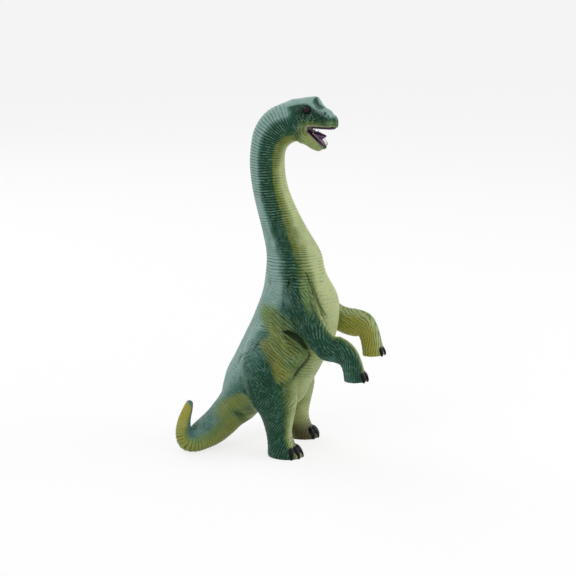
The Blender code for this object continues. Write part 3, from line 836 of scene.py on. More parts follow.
def locate_batch(points, course):
    ahead = points @ course.normals.T - (course.centres * course.normals).sum(1)
    enclosed = (ahead[:, :-1] >= 0) & (ahead[:, 1:] < 0)
    middles = (course.centres[1:] + course.centres[:-1]) / 2
    away = (points ** 2).sum(1)[:, None] - 2 * points @ middles.T + (middles ** 2).sum(1)
    index = np.where(enclosed, away, away + figure_height ** 2).argmin(1)
    rows = np.arange(len(points))
    start, end = ahead[rows, index], ahead[rows, index + 1]
    share = np.clip(start / np.maximum(start - end, 1e-9), 0, 1)
    centre = between(course.centres, index, share)
    offset = points - centre
    depth = between(course.depths, index, share)
    width = between(course.widths, index, share)
    front = (offset * between(course.fronts, index, share)).sum(1) / depth
    side = (offset * between(course.sides, index, share)).sum(1) / width
    past = (offset * between(course.normals, index, share)).sum(1) / np.minimum(depth, width)
    reach = np.sqrt(front ** 2 + side ** 2 + past ** 2)
    return between(course.runs, index, share), front, side, reach, centre[:, 2] / figure_height


def fade(values, start, end):
    """1 before start, 0 past end, and a smooth change between them."""
    share = np.clip((end - values) / (end - start), 0, 1)
    return share * share * (3 - 2 * share)


def rise(values, low, high):
    """0 before low, 1 past high, and a smooth change between them."""
    return fade(-values, -high, -low)


def noise(points, lump, seed):
    """Smooth random values from -1 to 1, in lumps of about a given size."""
    values = np.random.default_rng(seed).uniform(-1, 1, 4096)
    grid = points / lump
    cell = np.floor(grid).astype(np.int64)
    inner = grid - cell
    inner = inner * inner * (3 - 2 * inner)
    total = np.zeros(len(points))
    for corner in product((0, 1), repeat=3):
        at = cell + corner
        key = (at[:, 0] * 73856093 ^ at[:, 1] * 19349663 ^ at[:, 2] * 83492791) % 4096
        weight = np.prod(np.where(corner, inner, 1 - inner), axis=1)
        total += weight * values[key]
    return total


def wander(points, amounts, lumps, seed):
    """A smooth random change, made up of large lumps and small ones."""
    total = np.zeros(len(points))
    for step, (amount, lump) in enumerate(zip(amounts, lumps)):
        total += amount * noise(points, lump, seed + step)
    return total


def line_distance(points, line_shares):
    """Distance in the side view to a drawn line, and how far along the line, from 0 to 1."""
    line = np.array(line_shares) * figure_height
    flat = points[:, [0, 2]]
    lengths = np.linalg.norm(np.diff(line, axis=0), axis=1)
    runs = np.concatenate([[0], np.cumsum(lengths)])
    nearest = np.full(len(points), np.inf)
    along = np.zeros(len(points))
    for start, end, run, length in zip(line, line[1:], runs, lengths):
        share = np.clip((flat - start) @ (end - start) / length ** 2, 0, 1)
        away = np.linalg.norm(flat - start - share[:, None] * (end - start), axis=1)
        closer = away < nearest
        nearest = np.where(closer, away, nearest)
        along = np.where(closer, (run + share * length) / runs[-1], along)
    return nearest, along


def drawn_lines(points, facing, table, depth, width):
    """How deep the drawn lines lie at each point, on skin that faces sideways. Their ends run out thin."""
    total = np.zeros(len(points))
    for depth_share, width_share, line in table:
        away, along = line_distance(points, line)
        taper = np.clip(5 * np.minimum(along, 1 - along) + 0.35, 0, 1)
        breadth = width_share * width * (0.40 + 0.75 * np.sin(np.pi * along))
        total = np.maximum(total, depth_share * taper * np.exp(-(away / breadth) ** 2))
    return total * depth * facing


def patch(points, strength, radius_share, line, soft=0.6):
    """Strength of one painted stroke at each point."""
    away = line_distance(points, line)[0]
    radius = radius_share * figure_height
    return strength * fade(away, radius * (1 - soft), radius * (1 + soft))


def patches(points, facing, table, soft=0.6):
    """Strength of painted patches at each point."""
    total = np.zeros(len(points))
    for strength, radius_share, line in table:
        total = np.maximum(total, patch(points, strength, radius_share, line, soft))
    return total * facing


# The moulded folds


def limb_angle(place_found):
    """Degrees round a limb: 0 at its front or belly and 180 at its back, on either side."""
    return np.degrees(np.arctan2(np.abs(place_found.side), place_found.front))


def outer_angle(place_found):
    """Degrees round a right limb: 0 at its front, 90 on its outer side, -90 on its inner side."""
    return np.degrees(np.arctan2(-place_found.side, place_found.front))


def side_facing(points, normals):
    """1 where the skin faces sideways and away from the mid-plane."""
    outward = normals[:, 1] * np.sign(points[:, 1])
    return rise(outward, 0.10, 0.45)


def find_places(points, names):
    """Where each point lies on the named limbs. Legs are read on the right side, mirrored where needed."""
    folded = points.copy()
    folded[:, 1] = -np.abs(folded[:, 1])
    places = {}
    if "body" in names:
        spine = [*body_stations(), *head_stations()[:2 * steps_between_rows]]
        places["body"] = locate(points, course_of(spine))
    if "tail" in names:
        places["tail"] = locate(points, course_of(tail_stations()))
    if "hind_leg" in names:
        places["hind_leg"] = locate(folded, course_of(hind_leg_stations(-1)))
    if "foreleg" in names:
        right = locate(folded, course_of(foreleg_stations(right_foreleg_shares, -1)))
        left = locate(folded, course_of(foreleg_stations(left_foreleg_shares, -1)))
        on_left = points[:, 1] > 0
        places["foreleg"] = Place(*(np.where(on_left, *pair) for pair in zip(left, right)))
    return places


def limb_weights(places):
    """How much each limb shapes each point. They add up to 1."""
    near = {name: np.exp(-((found.reach - 1) / 0.14) ** 2) + 1e-9 for name, found in places.items()}
    total = sum(near.values())
    return {name: value / total for name, value in near.items()}


def ring_phase(points, along, pitch, seed):
    """How many folds run round a limb before each point."""
    return along / pitch + wander(points, (0.30, 0.20), ring_lumps, seed)


def rings(points, along, pitch, seed):
    """Folds that run round a limb, from 0 in the grooves to 1."""
    wave = 0.5 + 0.5 * np.cos(2 * np.pi * ring_phase(points, along, pitch, seed))
    strength = 0.78 + 0.42 * noise(points, patchy_lump, seed + 2)
    return 1 - (1 - wave) ** 1.3 * np.clip(strength, 0, 1)


def neck_run(found):
    """Distance along the body, stretched where the neck's rings lie further apart."""
    return found.along / (1 + 0.15 * fade(found.up, 0.56, 0.66))


def stroke_phase(points, run, pitch, seed):
    """How many folds lie before each point, for long folds that wander."""
    return run / pitch + wander(points, (0.85, 0.32), stroke_lumps, seed)


def neck_share(found):
    return rise(found.up, 0.460, 0.510)


def dashes(across, lengthwise, pitch, dash, seed):
    """Rows of short folds, from 0 in the grooves to 1."""
    row = np.floor(across / pitch + 0.5).astype(np.int64)
    offsets = np.random.default_rng(seed).uniform(0, 1, 512)[row % 512]
    broken = np.abs(np.cos(np.pi * (lengthwise / dash + offsets))) ** 0.45
    wave = 0.5 + 0.5 * np.cos(2 * np.pi * across / pitch)
    return wave ** 1.15 * (0.12 + 0.88 * broken)


def hatching(points, along, around, pitch, seed, slants=(24, -38, 78)):
    """Patches of short folds that slant in different ways."""
    for stray, lump, seed_step in zip(fold_strays, hatch_lumps, (0, 20)):
        along = along + stray * noise(points, lump, seed + seed_step)
        around = around + stray * noise(points, lump, seed + seed_step + 1)
    total = np.zeros(len(points))
    weights = np.zeros(len(points))
    for number, slant in enumerate(slants):
        weight = np.exp(10 * noise(points, hatch_region_lump, seed + 2 + number))
        angle = math.radians(slant)
        across = along * math.sin(angle) + around * math.cos(angle)
        lengthwise = along * math.cos(angle) - around * math.sin(angle)
        total += weight * dashes(across, lengthwise, pitch, 4.0 * pitch, seed + 10 + number)
        weights += weight
    return total / weights


def side_view_folds(points, slant, pitch, dash, seed):
    """Long folds that run across the side view at a slant."""
    angle = math.radians(slant)
    drift = np.zeros(len(points))
    for stray, lump, seed_step in zip(fold_strays, slant_lumps, (0, 2)):
        drift = drift + stray * noise(points, lump, seed + seed_step)
    across = points[:, 2] * math.cos(angle) - points[:, 0] * math.sin(angle) + drift
    lengthwise = points[:, 0] * math.cos(angle) + points[:, 2] * math.sin(angle)
    return dashes(across, lengthwise, pitch, dash, seed + 1)


def body_folds(points, found, sizes):
    """Folds from 0 in the grooves to 1 on the ridges, and how tall they are."""
    angle = limb_angle(found)
    neck = neck_share(found)
    back = rise(angle, 92, 118) * (1 - neck)
    belly = fade(angle, 46, 66) * (1 - neck)
    flank = np.clip(1 - neck - back - belly, 0, 1)
    ringed = rings(points, neck_run(found), sizes.ring_pitch, 11)
    around = np.radians(angle) * body_width / 2
    crossed = hatching(points, found.along, around, sizes.hatch_pitch, 31, (84, 56, 108))
    level = rings(points, found.along, sizes.ring_pitch * 1.3, 17)
    upright = rings(points, around, belly_plate_pitch, 23)
    plates = 1 - 0.62 * (1 - np.minimum(level, 0.35 + 0.65 * upright))
    slanted = side_view_folds(points, -45, flank_fold_pitch, flank_fold_length, 37)
    front = fade(angle, 30, 60) * neck
    ringed = ringed * (1 - front) + (1 - (1 - ringed) * 0.62) * front
    pattern = ringed * neck + crossed * back + plates * belly + slanted * flank
    height = sizes.ring_height * (neck + 0.90 * back + 0.60 * belly + 0.62 * flank)
    return pattern, height


def tail_folds(points, found, sizes):
    ringed = rings(points, found.along, sizes.ring_pitch * 0.95, 51)
    around = np.radians(limb_angle(found)) * tail_thickness / 2
    crossed = hatching(points, found.along, around, sizes.hatch_pitch, 57, (70, 96))
    root = fade(found.along, *tail_root_range)
    end = rise(found.along, *tail_end_range)
    pattern = ringed * (1 - 0.5 * root) + crossed * 0.5 * root
    return pattern * (1 - 0.50 * end) + 0.34 * end, sizes.ring_height * (1 - 0.30 * end)


def paint_weights(places):
    """How much each limb's own paint and folds show. The legs' start below the body's."""
    weights = limb_weights(places)
    for name, start_range in (("foreleg", foreleg_start_range), ("hind_leg", hind_leg_start_range)):
        if name in places:
            share = 1 - fade(places[name].along, *start_range)
            weights["body"] = weights["body"] + weights[name] * (1 - share)
            weights[name] = weights[name] * share
    return weights


def fold_marks(points, places, sizes):
    """The count of folds at each point, and how clearly they show. Each region has a count of its own."""
    weights = paint_weights(places)
    found = places["body"]
    angle = limb_angle(found)
    neck = neck_share(found)
    back = rise(angle, 92, 118) * (1 - neck)
    belly = fade(angle, 46, 66) * (1 - neck)
    flank = np.clip(1 - neck - back - belly, 0, 1)
    forward, up = points[:, 0], points[:, 2]
    pitch = sizes.ring_pitch
    front = fade(angle, 30, 60)
    regions = [
        (weights["body"] * neck, ring_phase(points, neck_run(found), pitch, 11), 1 - 0.30 * front),
        (weights["body"] * back, stroke_phase(points, 0.30 * forward + 0.95 * up, pitch * 0.95, 33), 0.70),
        (weights["body"] * belly, ring_phase(points, found.along, pitch * 1.25, 17), 0.70),
        (weights["body"] * flank, stroke_phase(points, 0.70 * forward + 0.71 * up, pitch * 0.95, 37), 0.80),
    ]
    if "tail" in places:
        tail = places["tail"]
        clear = 0.12 + 0.55 * fade(tail.along, *tail_ring_range)
        regions.append((weights["tail"], ring_phase(points, tail.along, pitch * 0.95, 51), clear))
    if "hind_leg" in places:
        leg = places["hind_leg"]
        low = rise(leg.along, *shin_stroke_range)
        run = leg.front * hind_leg_depth * (0.40 - 0.12 * low) + leg.along * (0.46 + 0.25 * low)
        regions.append((weights["hind_leg"], stroke_phase(points, run, pitch * 1.05, 71), 0.90))
    if "foreleg" in places:
        leg = places["foreleg"]
        run = leg.front * foreleg_depth * 0.42 + leg.along * 0.36
        regions.append((weights["foreleg"], stroke_phase(points, run, pitch * 0.95, 91), 0.90))
    phase = np.zeros(len(points))
    clear = np.zeros(len(points))
    strongest = np.full(len(points), 0.5)
    for share, count, strength in regions:
        ahead = share > strongest
        phase = np.where(ahead, count, phase)
        clear = np.where(ahead, strength * np.clip((share - 0.5) / 0.2, 0, 1), clear)
        strongest = np.where(ahead, share, strongest)
    patchy = np.clip(0.80 + 0.50 * noise(points, patchy_lump, 13), 0, 1)
    return phase, clear * patchy


def hind_leg_folds(points, found, sizes):
    around = np.radians(outer_angle(found)) * hind_leg_depth * 0.42
    thigh = hatching(points, found.along, around, sizes.hatch_pitch, 71, (20, -40, 84))
    shin = hatching(points, found.along, around, sizes.hatch_pitch * 0.95, 81, (14, -16, 88))
    low = rise(found.along, *shin_range)
    centre = place(*swirl_shares)
    forward, up = points[:, 0] - centre.x, points[:, 2] - centre.z
    away = np.hypot(forward, up) + swirl_stray * noise(points, swirl_lump, 87)
    arcs = 0.5 + 0.5 * np.cos(2 * np.pi * away / swirl_pitch)
    near = fade(away, *swirl_range) * (1 - low)
    pattern = (thigh * (1 - low) + shin * low) * (1 - near) + arcs * near
    return pattern, sizes.hatch_height * (1 - 0.25 * low)


def foreleg_folds(points, found, sizes):
    around = np.radians(outer_angle(found)) * foreleg_depth * 0.5
    arm = hatching(points, found.along, around, sizes.hatch_pitch, 91, (38, -30, 8))
    low = rise(found.along, *hand_range)
    hand = hatching(points, found.along, around, sizes.hatch_pitch * 0.9, 101, (10, 84))
    return arm * (1 - low) + hand * low, sizes.hatch_height * (1 - 0.3 * low)


def figure_height_map(points, normals, places, sizes):
    """The fold pattern, how far it pushes each point of the skin in, and how deep the drawn folds are."""
    weights = paint_weights(places)
    makers = {"body": body_folds, "tail": tail_folds, "hind_leg": hind_leg_folds, "foreleg": foreleg_folds}
    crest = np.zeros(len(points))
    height = np.zeros(len(points))
    for name, found in places.items():
        pattern, tall = makers[name](points, found, sizes)
        crest += weights[name] * pattern
        height += weights[name] * tall
    phase, clear = fold_marks(points, places, sizes)
    wave = 0.5 + 0.5 * np.cos(2 * np.pi * phase)
    fine = (crest * (1 - clear) + wave * clear - 1) * height
    facing = side_facing(points, normals)
    if "foreleg" in places:
        drawn = drawn_lines(points, facing, shoulder_groove_shares, sizes.groove_depth, sizes.groove_width)
        drawn = drawn * 0.7
    else:
        both = groove_shares + shoulder_groove_shares
        drawn = drawn_lines(points, facing, both, sizes.groove_depth, sizes.groove_width)
    return crest, phase, clear, fine, drawn


def body_spray(found):
    """How far through the sprayed colours each point of the trunk and neck is, from belly to back."""
    angle = limb_angle(found)
    rows = np.array(body_spray_rows)
    edges = [np.interp(found.up, rows[:, 0], rows[:, column]) for column in range(1, rows.shape[1])]
    spray = np.full(len(angle), spray_steps[0])
    for low, high, start, end in zip(edges, edges[1:], spray_steps, spray_steps[1:]):
        spray += (end - start) * np.clip((angle - low) / (high - low), 0, 1)
    spray = np.maximum(spray, 0.11 * fade(found.up, 0.330, 0.410))
    warm = fade(np.abs(spray - 0.38), 0.04, 0.14) * rise(found.up, 0.50, 0.62) * 0.30
    return {"spray": spray, "warm": warm}


def tail_spray(found, normals):
    angle = limb_angle(found)
    bend = rise(found.along, *tail_bend_range)
    tip = rise(found.along, *tail_tip_range)
    edge = 118 + 40 * bend
    top = rise(angle, edge - 18, edge + 18)
    low = fade(angle, 76 + 66 * bend, 108 + 50 * bend)
    leftward = fade(normals[:, 0], -0.80, -0.20)
    end = rise(found.along, *tail_grey_range)
    grey = tip * np.maximum(leftward * 0.9, end)
    spray = 0.90 - 0.04 * bend
    warm = low * (0.50 + 0.45 * bend) * (1 - tip) + tip * (0.95 - 0.60 * grey)
    flank = (1 - top) * 0.95 * (1 - tip) + tip * (1 - 0.35 * grey)
    return {"spray": spray, "warm": warm, "flank": flank}


def leg_spray(found, table):
    angles, values = np.array(table).T
    return np.interp(outer_angle(found), angles, values)


def hind_leg_spray_of(found):
    angle = outer_angle(found)
    return {"spray": leg_spray(found, hind_leg_spray), "warm": 0.22 * fade(np.abs(angle + 90), 60, 100)}


def foreleg_spray_of(found):
    angle = outer_angle(found)
    inner = fade(np.abs(angle + 120), 52, 86)
    hand = 0.08 * rise(found.along, *hand_paint_range) * fade(np.abs(angle - 90), 50, 80)
    return {"spray": leg_spray(found, foreleg_spray) + hand, "warm": 0.92 * inner}


def wire_share(places):
    """How much the skin is crossed by fine lines."""
    weights = paint_weights(places)
    found = places["body"]
    neck = neck_share(found)
    belly = fade(limb_angle(found), 40, 66)
    on_body = (1 - neck) * (1 - 0.35 * belly)
    total = weights["body"] * (0.10 * neck + 0.50 * on_body)
    total += weights.get("tail", 0) * 0.20
    total += (weights.get("hind_leg", 0) + weights.get("foreleg", 0)) * 0.40
    return np.clip(total, 0, 1)


def nail_shape(local):
    """A ball's points drawn out to a claw that leans forward as it goes down."""
    shaped = local.copy()
    shaped[:, 1] *= 0.80 + 0.30 * local[:, 2]
    shaped[:, 0] -= 0.45 * local[:, 2]
    return shaped


def spray_mottle(points):
    """Small uneven changes in how much paint the spray laid down."""
    return 0.040 * noise(points, spray_lumps[0], 201) + 0.03 * noise(points, spray_lumps[1], 203)


def figure_spray(points, normals, places):
    """How far through the sprayed colours each point is, and the patches that lie over them."""
    weights = paint_weights(places)
    makers = {
        "body": lambda: body_spray(places["body"]),
        "tail": lambda: tail_spray(places["tail"], normals),
        "hind_leg": lambda: hind_leg_spray_of(places["hind_leg"]),
        "foreleg": lambda: foreleg_spray_of(places["foreleg"]),
    }
    masks = {name: np.zeros(len(points)) for name in ("spray", "warm", "flank", "pale")}
    for name in places:
        for mask_name, values in makers[name]().items():
            masks[mask_name] += weights[name] * values
    facing = side_facing(points, normals)
    off_legs = 1 - np.clip(weights.get("foreleg", 0) + weights.get("hind_leg", 0) * 0.6, 0, 1)
    off_legs = np.maximum(off_legs, fade(points[:, 0] / figure_height, -0.084, -0.062))
    for name, strength, radius_share, line in patch_shares:
        shown = patch(points, strength, radius_share, line) * facing * off_legs
        masks[name] = np.maximum(masks[name], shown)
    masks["spray"] += spray_mottle(points)
    masks["spray"] = np.clip(masks["spray"], 0, 1)
    return masks


# The sprayed paint


def store(item, name, values):
    attribute = item.data.attributes.get(name) or item.data.attributes.new(name, "FLOAT", "POINT")
    attribute.data.foreach_set("value", np.ascontiguousarray(values, dtype=np.float32))


def points_and_normals(item):
    count = len(item.data.vertices)
    points = np.empty(count * 3, dtype=np.float32)
    normals = np.empty(count * 3, dtype=np.float32)
    item.data.vertices.foreach_get("co", points)
    item.data.vertex_normals.foreach_get("vector", normals)
    return points.reshape(-1, 3).astype(float), normals.reshape(-1, 3).astype(float)


def move_points(item, points):
    item.data.vertices.foreach_set("co", points.astype(np.float32).ravel())
    item.data.update()


# Nails


def nail_frames(station, angles, nail):
    """Where each nail's ball goes round the front of a sole."""
    frames = []
    turn = turn_of(station)
    for angle in angles:
        swing = math.radians(angle)
        out = Vector((math.cos(swing), math.sin(swing), 0))
        rim = Vector((station.half_depth * out.x, station.half_width * out.y, 0))
        centre = station.centre + turn @ rim + Vector((0, 0, nail.lift))
        heading = turn @ out
        facing = Matrix.Rotation(math.atan2(heading.y, heading.x), 4, "Z")
        leaning = Matrix.Rotation(math.radians(-nail.tilt), 4, "Y")
        size = Matrix.Diagonal((nail.proud, nail.width, nail.height, 1))
        frames.append(Matrix.Translation(centre) @ facing @ leaning @ size)
    return frames


def nails_round(sole, side, angles, nail):
    """A foot's nails, on a line a little inside the sole's rim."""
    line = sole._replace(
        half_depth=sole.half_depth * nail_ring_share,
        half_width=sole.half_width * nail_ring_share,
    )
    return nail_frames(line, [side * degrees for degrees in angles], nail)


def hind_nails(side):
    return nails_round(hind_leg_stations(side)[-1], side, hind_nail_angles, hind_nail)


def fore_nails(shares, side):
    return nails_round(foreleg_stations(shares, side)[-1], side, fore_nail_angles, fore_nail)


def both_hind_nails():
    return hind_nails(-1) + hind_nails(1)


def both_fore_nails():
    return fore_nails(right_foreleg_shares, -1) + fore_nails(left_foreleg_shares, 1)


def nail_ball(matrix):
    mesh = bmesh.new()
    bmesh.ops.create_uvsphere(mesh, u_segments=24, v_segments=16, radius=1)
    shaped = nail_shape(np.array([vertex.co for vertex in mesh.verts]))
    for vertex, point in zip(mesh.verts, shaped):
        vertex.co = matrix @ Vector(point)
    return mesh


def nail_mask(points, frames):
    mask = np.zeros(len(points))
    for matrix in frames:
        inverse = np.array(matrix.inverted())
        local = points @ inverse[:3, :3].T + inverse[:3, 3]
        local[:, 0] += 0.45 * local[:, 2]
        local[:, 1] /= 0.80 + 0.30 * np.clip(local[:, 2], -1.3, 1.3)
        mask = np.maximum(mask, fade(np.linalg.norm(local, axis=1), 1.04, 1.22))
    return mask


# The figure's skin


def spine_stations():
    """The tail, trunk, neck and the start of the head as one run of sections."""
    tail = domed(tail_stations()[steps_between_rows:])
    return [*reversed(tail), *body_stations(), *head_stations()[:2 * steps_between_rows]]


def leg_with_sole(stations, deep):
    """The sections with one more a little past the sole, so that the floor can cut them flat."""
    last = stations[-1]
    lower = last._replace(centre=last.centre + Vector((0, 0, -deep)))
    return [*stations, lower]


def topped(stations):
    """Sections with a round end before the first one."""
    return list(reversed(domed(list(reversed(stations)))))


def join_to(item, meshes):
    """Adds closed meshes to an object's own."""
    held = bmesh.new()
    held.from_mesh(item.data)
    joined = join_meshes([held, *meshes])
    joined.to_mesh(item.data)
    joined.free()


def inside_outline(points, outline):
    """True where a point lies inside a closed side-view outline."""
    inside = np.zeros(len(points), dtype=bool)
    for start, end in zip(outline, [*outline[1:], outline[0]]):
        crosses = (start.z > points[:, 2]) != (end.z > points[:, 2])
        rise = end.z - start.z or 1e-9
        at = start.x + (points[:, 2] - start.z) * (end.x - start.x) / rise
        inside ^= crosses & (points[:, 0] < at)
    return inside


def pressed(points, under_disc):
    """The points, kept under the seat's plane inside its outline, with a soft rise round it."""
    outline = seat_outline()
    shares = [(point.x / figure_height, point.z / figure_height) for point in [*outline, outline[0]]]
    away = np.where(inside_outline(points, outline), 0, line_distance(points, shares)[0])
    axis = place(*shoulder_axis_shares)
    low = fade(points[:, 2], axis.z - seat_radius, axis.z - seat_radius * 0.2)
    limit = seat_plane + dish_height * (away / (dish_rim + (dish_width - dish_rim) * low)) ** 1.5
    if not under_disc:
        from_axis = np.hypot(points[:, 0] - axis.x, points[:, 2] - axis.z)
        limit = np.where(from_axis < disc_radius, figure_height, limit)
    side = np.abs(points[:, 1])
    lowered = -dish_blend * np.logaddexp(-side / dish_blend, -limit / dish_blend)
    pushed = points.copy()
    pushed[:, 1] = np.sign(points[:, 1]) * lowered
    return pushed


def smooth_joins(item, first, second, rounds, start=1.10, end=1.45):
    """Smooths the skin where two limbs meet, above the soles."""
    points = points_and_normals(item)[0]
    places = find_places(points, (*first, *second))
    close = {name: fade(found.reach, start, end) for name, found in places.items()}
    joins = np.zeros(len(points))
    for one, other in product(first, second):
        joins = np.maximum(joins, np.minimum(close[one], close[other]))
    smooth(item, rounds, joins * rise(points[:, 2], *sole_range))


def mould_and_paint(item, limbs, nail_frames_used):
    """Presses the folds into a skin and keeps its paint masks."""
    sizes = skin_sizes()
    points, normals = points_and_normals(item)
    places = find_places(points, limbs)
    nails = nail_mask(points, nail_frames_used)
    crest, phase, clear, fine, drawn = figure_height_map(points, normals, places, sizes)
    masks = figure_spray(points, normals, places)
    move_points(item, points + normals * (fine * (1 - nails) - drawn)[:, None])
    masks["crest"] = crest * (1 - nails) + nails
    # Painted shade: the deeper a drawn fold, the darker it is painted
    masks["fold"] = 1 - (1 - np.clip(drawn / sizes.groove_depth, 0, 1)) ** 1.8
    masks["nail"] = nails
    # The feet's shade mask: dark brown paint with painted shadow
    masks["shade"] = foot_shade(points, places["hind_leg"]) if "hind_leg" in places else 0 * nails
    masks["made"] = np.ones(len(points))
    masks["phase"] = phase
    masks["ringed"] = clear * (1 - nails)
    masks["wire"] = wire_share(places) * (1 - nails)
    for name, values in masks.items():
        store(item, name, values)


def mouth_lines():
    """The roof and floor of the open mouth in the side view, from the corner to the front."""
    roof = (place(*mouth_roof_start_shares), place(*mouth_roof_shares))
    floor = (place(*mouth_floor_start_shares), place(*mouth_floor_shares))
    return roof, floor


def make_trunk_skin():
    """Tail, trunk, neck and hind legs as one skin, with the seats of the forelegs pressed into it."""
    sizes = skin_sizes()
    skin = add_object("trunk_skin", loft(spine_stations()))
    remesh(skin, sizes.skin_grain)
    smooth(skin, 3)
    move_points(skin, pressed(points_and_normals(skin)[0], True))
    legs = [loft(topped(leg_with_sole(hind_leg_stations(side), sole_overrun))) for side in (-1, 1)]
    nails = both_hind_nails()
    join_to(skin, legs + [nail_ball(matrix) for matrix in nails])
    remesh(skin, sizes.skin_grain)
    smooth(skin, 2)
    smooth_joins(skin, ("hind_leg",), ("body", "tail"), 320, 1.10, 1.60)
    mould_and_paint(skin, ("body", "tail", "hind_leg"), nails)
    return skin


def make_foreleg_skin():
    """Both forelegs with the chest that their rounds of skin are cut from."""
    sizes = skin_sizes()
    chest = body_stations()[3 * steps_between_rows:9 * steps_between_rows]
    skin = add_object("foreleg_skin", loft(chest))
    remesh(skin, sizes.skin_grain)
    smooth(skin, 3)
    move_points(skin, pressed(points_and_normals(skin)[0], False))
    legs = [
        loft(topped(foreleg_stations(shares, side)))
        for side, shares in ((-1, right_foreleg_shares), (1, left_foreleg_shares))
    ]
    nails = both_fore_nails()
    join_to(skin, legs + [nail_ball(matrix) for matrix in nails])
    remesh(skin, sizes.skin_grain)
    smooth(skin, 2)
    smooth_joins(skin, ("foreleg",), ("body",), 420, 1.20, 1.75)
    mould_and_paint(skin, ("body", "foreleg"), nails)
    return skin


def foot_shade(points, found):
    """Dark brown paint with painted shadow on the inner side of each foot, above the nails."""
    angle = outer_angle(found)
    low = fade(points[:, 2], *foot_shade_range)
    return low * fade(np.abs(angle + 50), 40, 80) * 0.85


# Cutting the skin into pieces


def copy_of(item, name):
    made = bpy.data.objects.new(name, item.data.copy())
    bpy.context.scene.collection.objects.link(made)
    return made


def heading(angle):
    """The side-view direction at an angle above straight forward."""
    return Vector((math.cos(angle), 0, math.sin(angle)))


def seat_outline():
    """The flat seat's outline: a round pad and the sector that the foreleg sweeps."""
    axis = place(*shoulder_axis_shares)
    elbow = place(*elbow_shares)
    rest = math.atan2(elbow.z - axis.z, elbow.x - axis.x)
    back, up = rest - swing_back, rest + swing_up
    start, end = up + math.radians(90), back + math.radians(270)
    turns = [start + (end - start) * step / ring_points for step in range(ring_points + 1)]
    points = [axis + heading(angle) * seat_radius for angle in turns]
    low_corner = points[-1] + heading(back) * seat_reach
    outer_corner = axis + heading((back + up) / 2) * seat_reach * 2
    high_corner = points[0] + heading(up) * seat_reach
    return [*points, low_corner, outer_corner, high_corner]


def tail_seam():
    return body_stations()[0]


def neck_seam():
    return body_stations()[-1]


def widened(stations, start, end):
    """Sections made larger, by one distance at the first and another at the last."""
    steps = len(stations) - 1
    return [
        grown([station], start + (end - start) * number / steps)[0]
        for number, station in enumerate(stations)
    ]


def tail_region(first=0, last=None):
    """A loose sleeve round the tail, from one row of it to another."""
    rows = tail_stations()[steps_between_rows:]
    stations = rows[first:last]
    if first == 0:
        stations = [tail_seam(), *stations]
    if last is None:
        stations = domed(stations)
        stations = [*stations, moved(stations[-1], -sleeve_overrun)]
    return loft(grown(stations, tail_sleeve))


def mesh_taken_from(item):
    """An object's mesh, with the object removed."""
    mesh = bmesh.new()
    mesh.from_mesh(item.data)
    bpy.data.objects.remove(item, do_unlink=True)
    return mesh


def hind_leg_region(side):
    """A loose sleeve round a hind leg, cut back to just under the trunk's skin."""
    stations = leg_with_sole(hind_leg_stations(side), sleeve_overrun)
    region = add_object("region", loft(topped(widened(stations, *hind_leg_sleeve))))
    core = grown([moved(body_stations()[0], -core_overrun), *body_stations()], -core_inset)
    cut(region, [("DIFFERENCE", loft(core))])
    return mesh_taken_from(region)


def foreleg_region(shares, side):
    """A loose sleeve round a foreleg with the round of skin over the shoulder, outside the seat."""
    stations = foreleg_stations(shares, side)[2 * steps_between_rows:]
    stations = [*stations, moved(stations[-1], -sleeve_overrun)]
    region = add_object("region", loft(widened(stations, *foreleg_sleeve)))
    disc = side_cylinder(place(*shoulder_axis_shares), side, 0, body_width, disc_radius)
    outside = side_prism(wide_outline(2), side * shoulder_plane, side * 2 * body_width)
    cut(region, [("UNION", disc), ("INTERSECT", outside)])
    return mesh_taken_from(region)


def above_floor():
    corners = [place(-1, 0), place(1, 0), place(1, 2), place(-1, 2)]
    return side_prism(corners, -figure_height, figure_height)


def half_space(side):
    return side_prism(wide_outline(2), 0, side * 2 * body_width)


def fill_cut_points(item):
    """Gives the points that a cut made the paint of the nearest point of the skin."""
    data = item.data
    count = len(data.vertices)
    values = {}
    for name in paint_masks:
        if name in data.attributes:
            held = np.empty(count, dtype=np.float32)
            data.attributes[name].data.foreach_get("value", held)
            values[name] = held
    made = values["made"] > 0.999
    sound = np.nonzero(made)[0]
    tree = KDTree(len(sound))
    for number, index in enumerate(sound):
        tree.insert(data.vertices[index].co, number)
    tree.balance()
    lost = np.nonzero(~made)[0]
    nearest = np.array([sound[tree.find(data.vertices[index].co)[1]] for index in lost], dtype=int)
    for name, held in values.items():
        held[lost] = held[nearest]
        data.attributes[name].data.foreach_set("value", held)


def cut_body_half(skin, name, side):
    half = copy_of(skin, name)
    cut(half, [
        ("INTERSECT", half_space(side)),
        ("DIFFERENCE", block_past(neck_seam(), figure_height / 3, figure_height / 3)),
        ("DIFFERENCE", tail_region()),
        ("DIFFERENCE", hind_leg_region(side)),
    ])
    return half


def cut_hind_leg(skin, name, side):
    leg = copy_of(skin, name)
    cut(leg, [
        ("INTERSECT", hind_leg_region(side)),
        ("DIFFERENCE", tail_region()),
        ("INTERSECT", above_floor()),
    ])
    return leg


def cut_foreleg(skin, name, side, shares):
    leg = copy_of(skin, name)
    axis = place(*shoulder_axis_shares)
    cut(leg, [
        ("INTERSECT", foreleg_region(shares, side)),
        ("DIFFERENCE", side_cylinder(axis, side, 0, shoulder_plane + socket_depth, socket_radius)),
    ])
    return leg


def cut_tail(skin, name, first, last):
    piece = copy_of(skin, name)
    cut(piece, [("INTERSECT", tail_region(first, last)), ("INTERSECT", above_floor())])
    return piece


# The head


def mouth_outline():
    """The side view of the open mouth, out past the snout."""
    (roof_start, roof_end), (floor_start, floor_end) = mouth_lines()
    return [
        floor_start, roof_start, roof_start + (roof_end - roof_start) * 2,
        floor_start + (floor_end - floor_start) * 2,
    ]


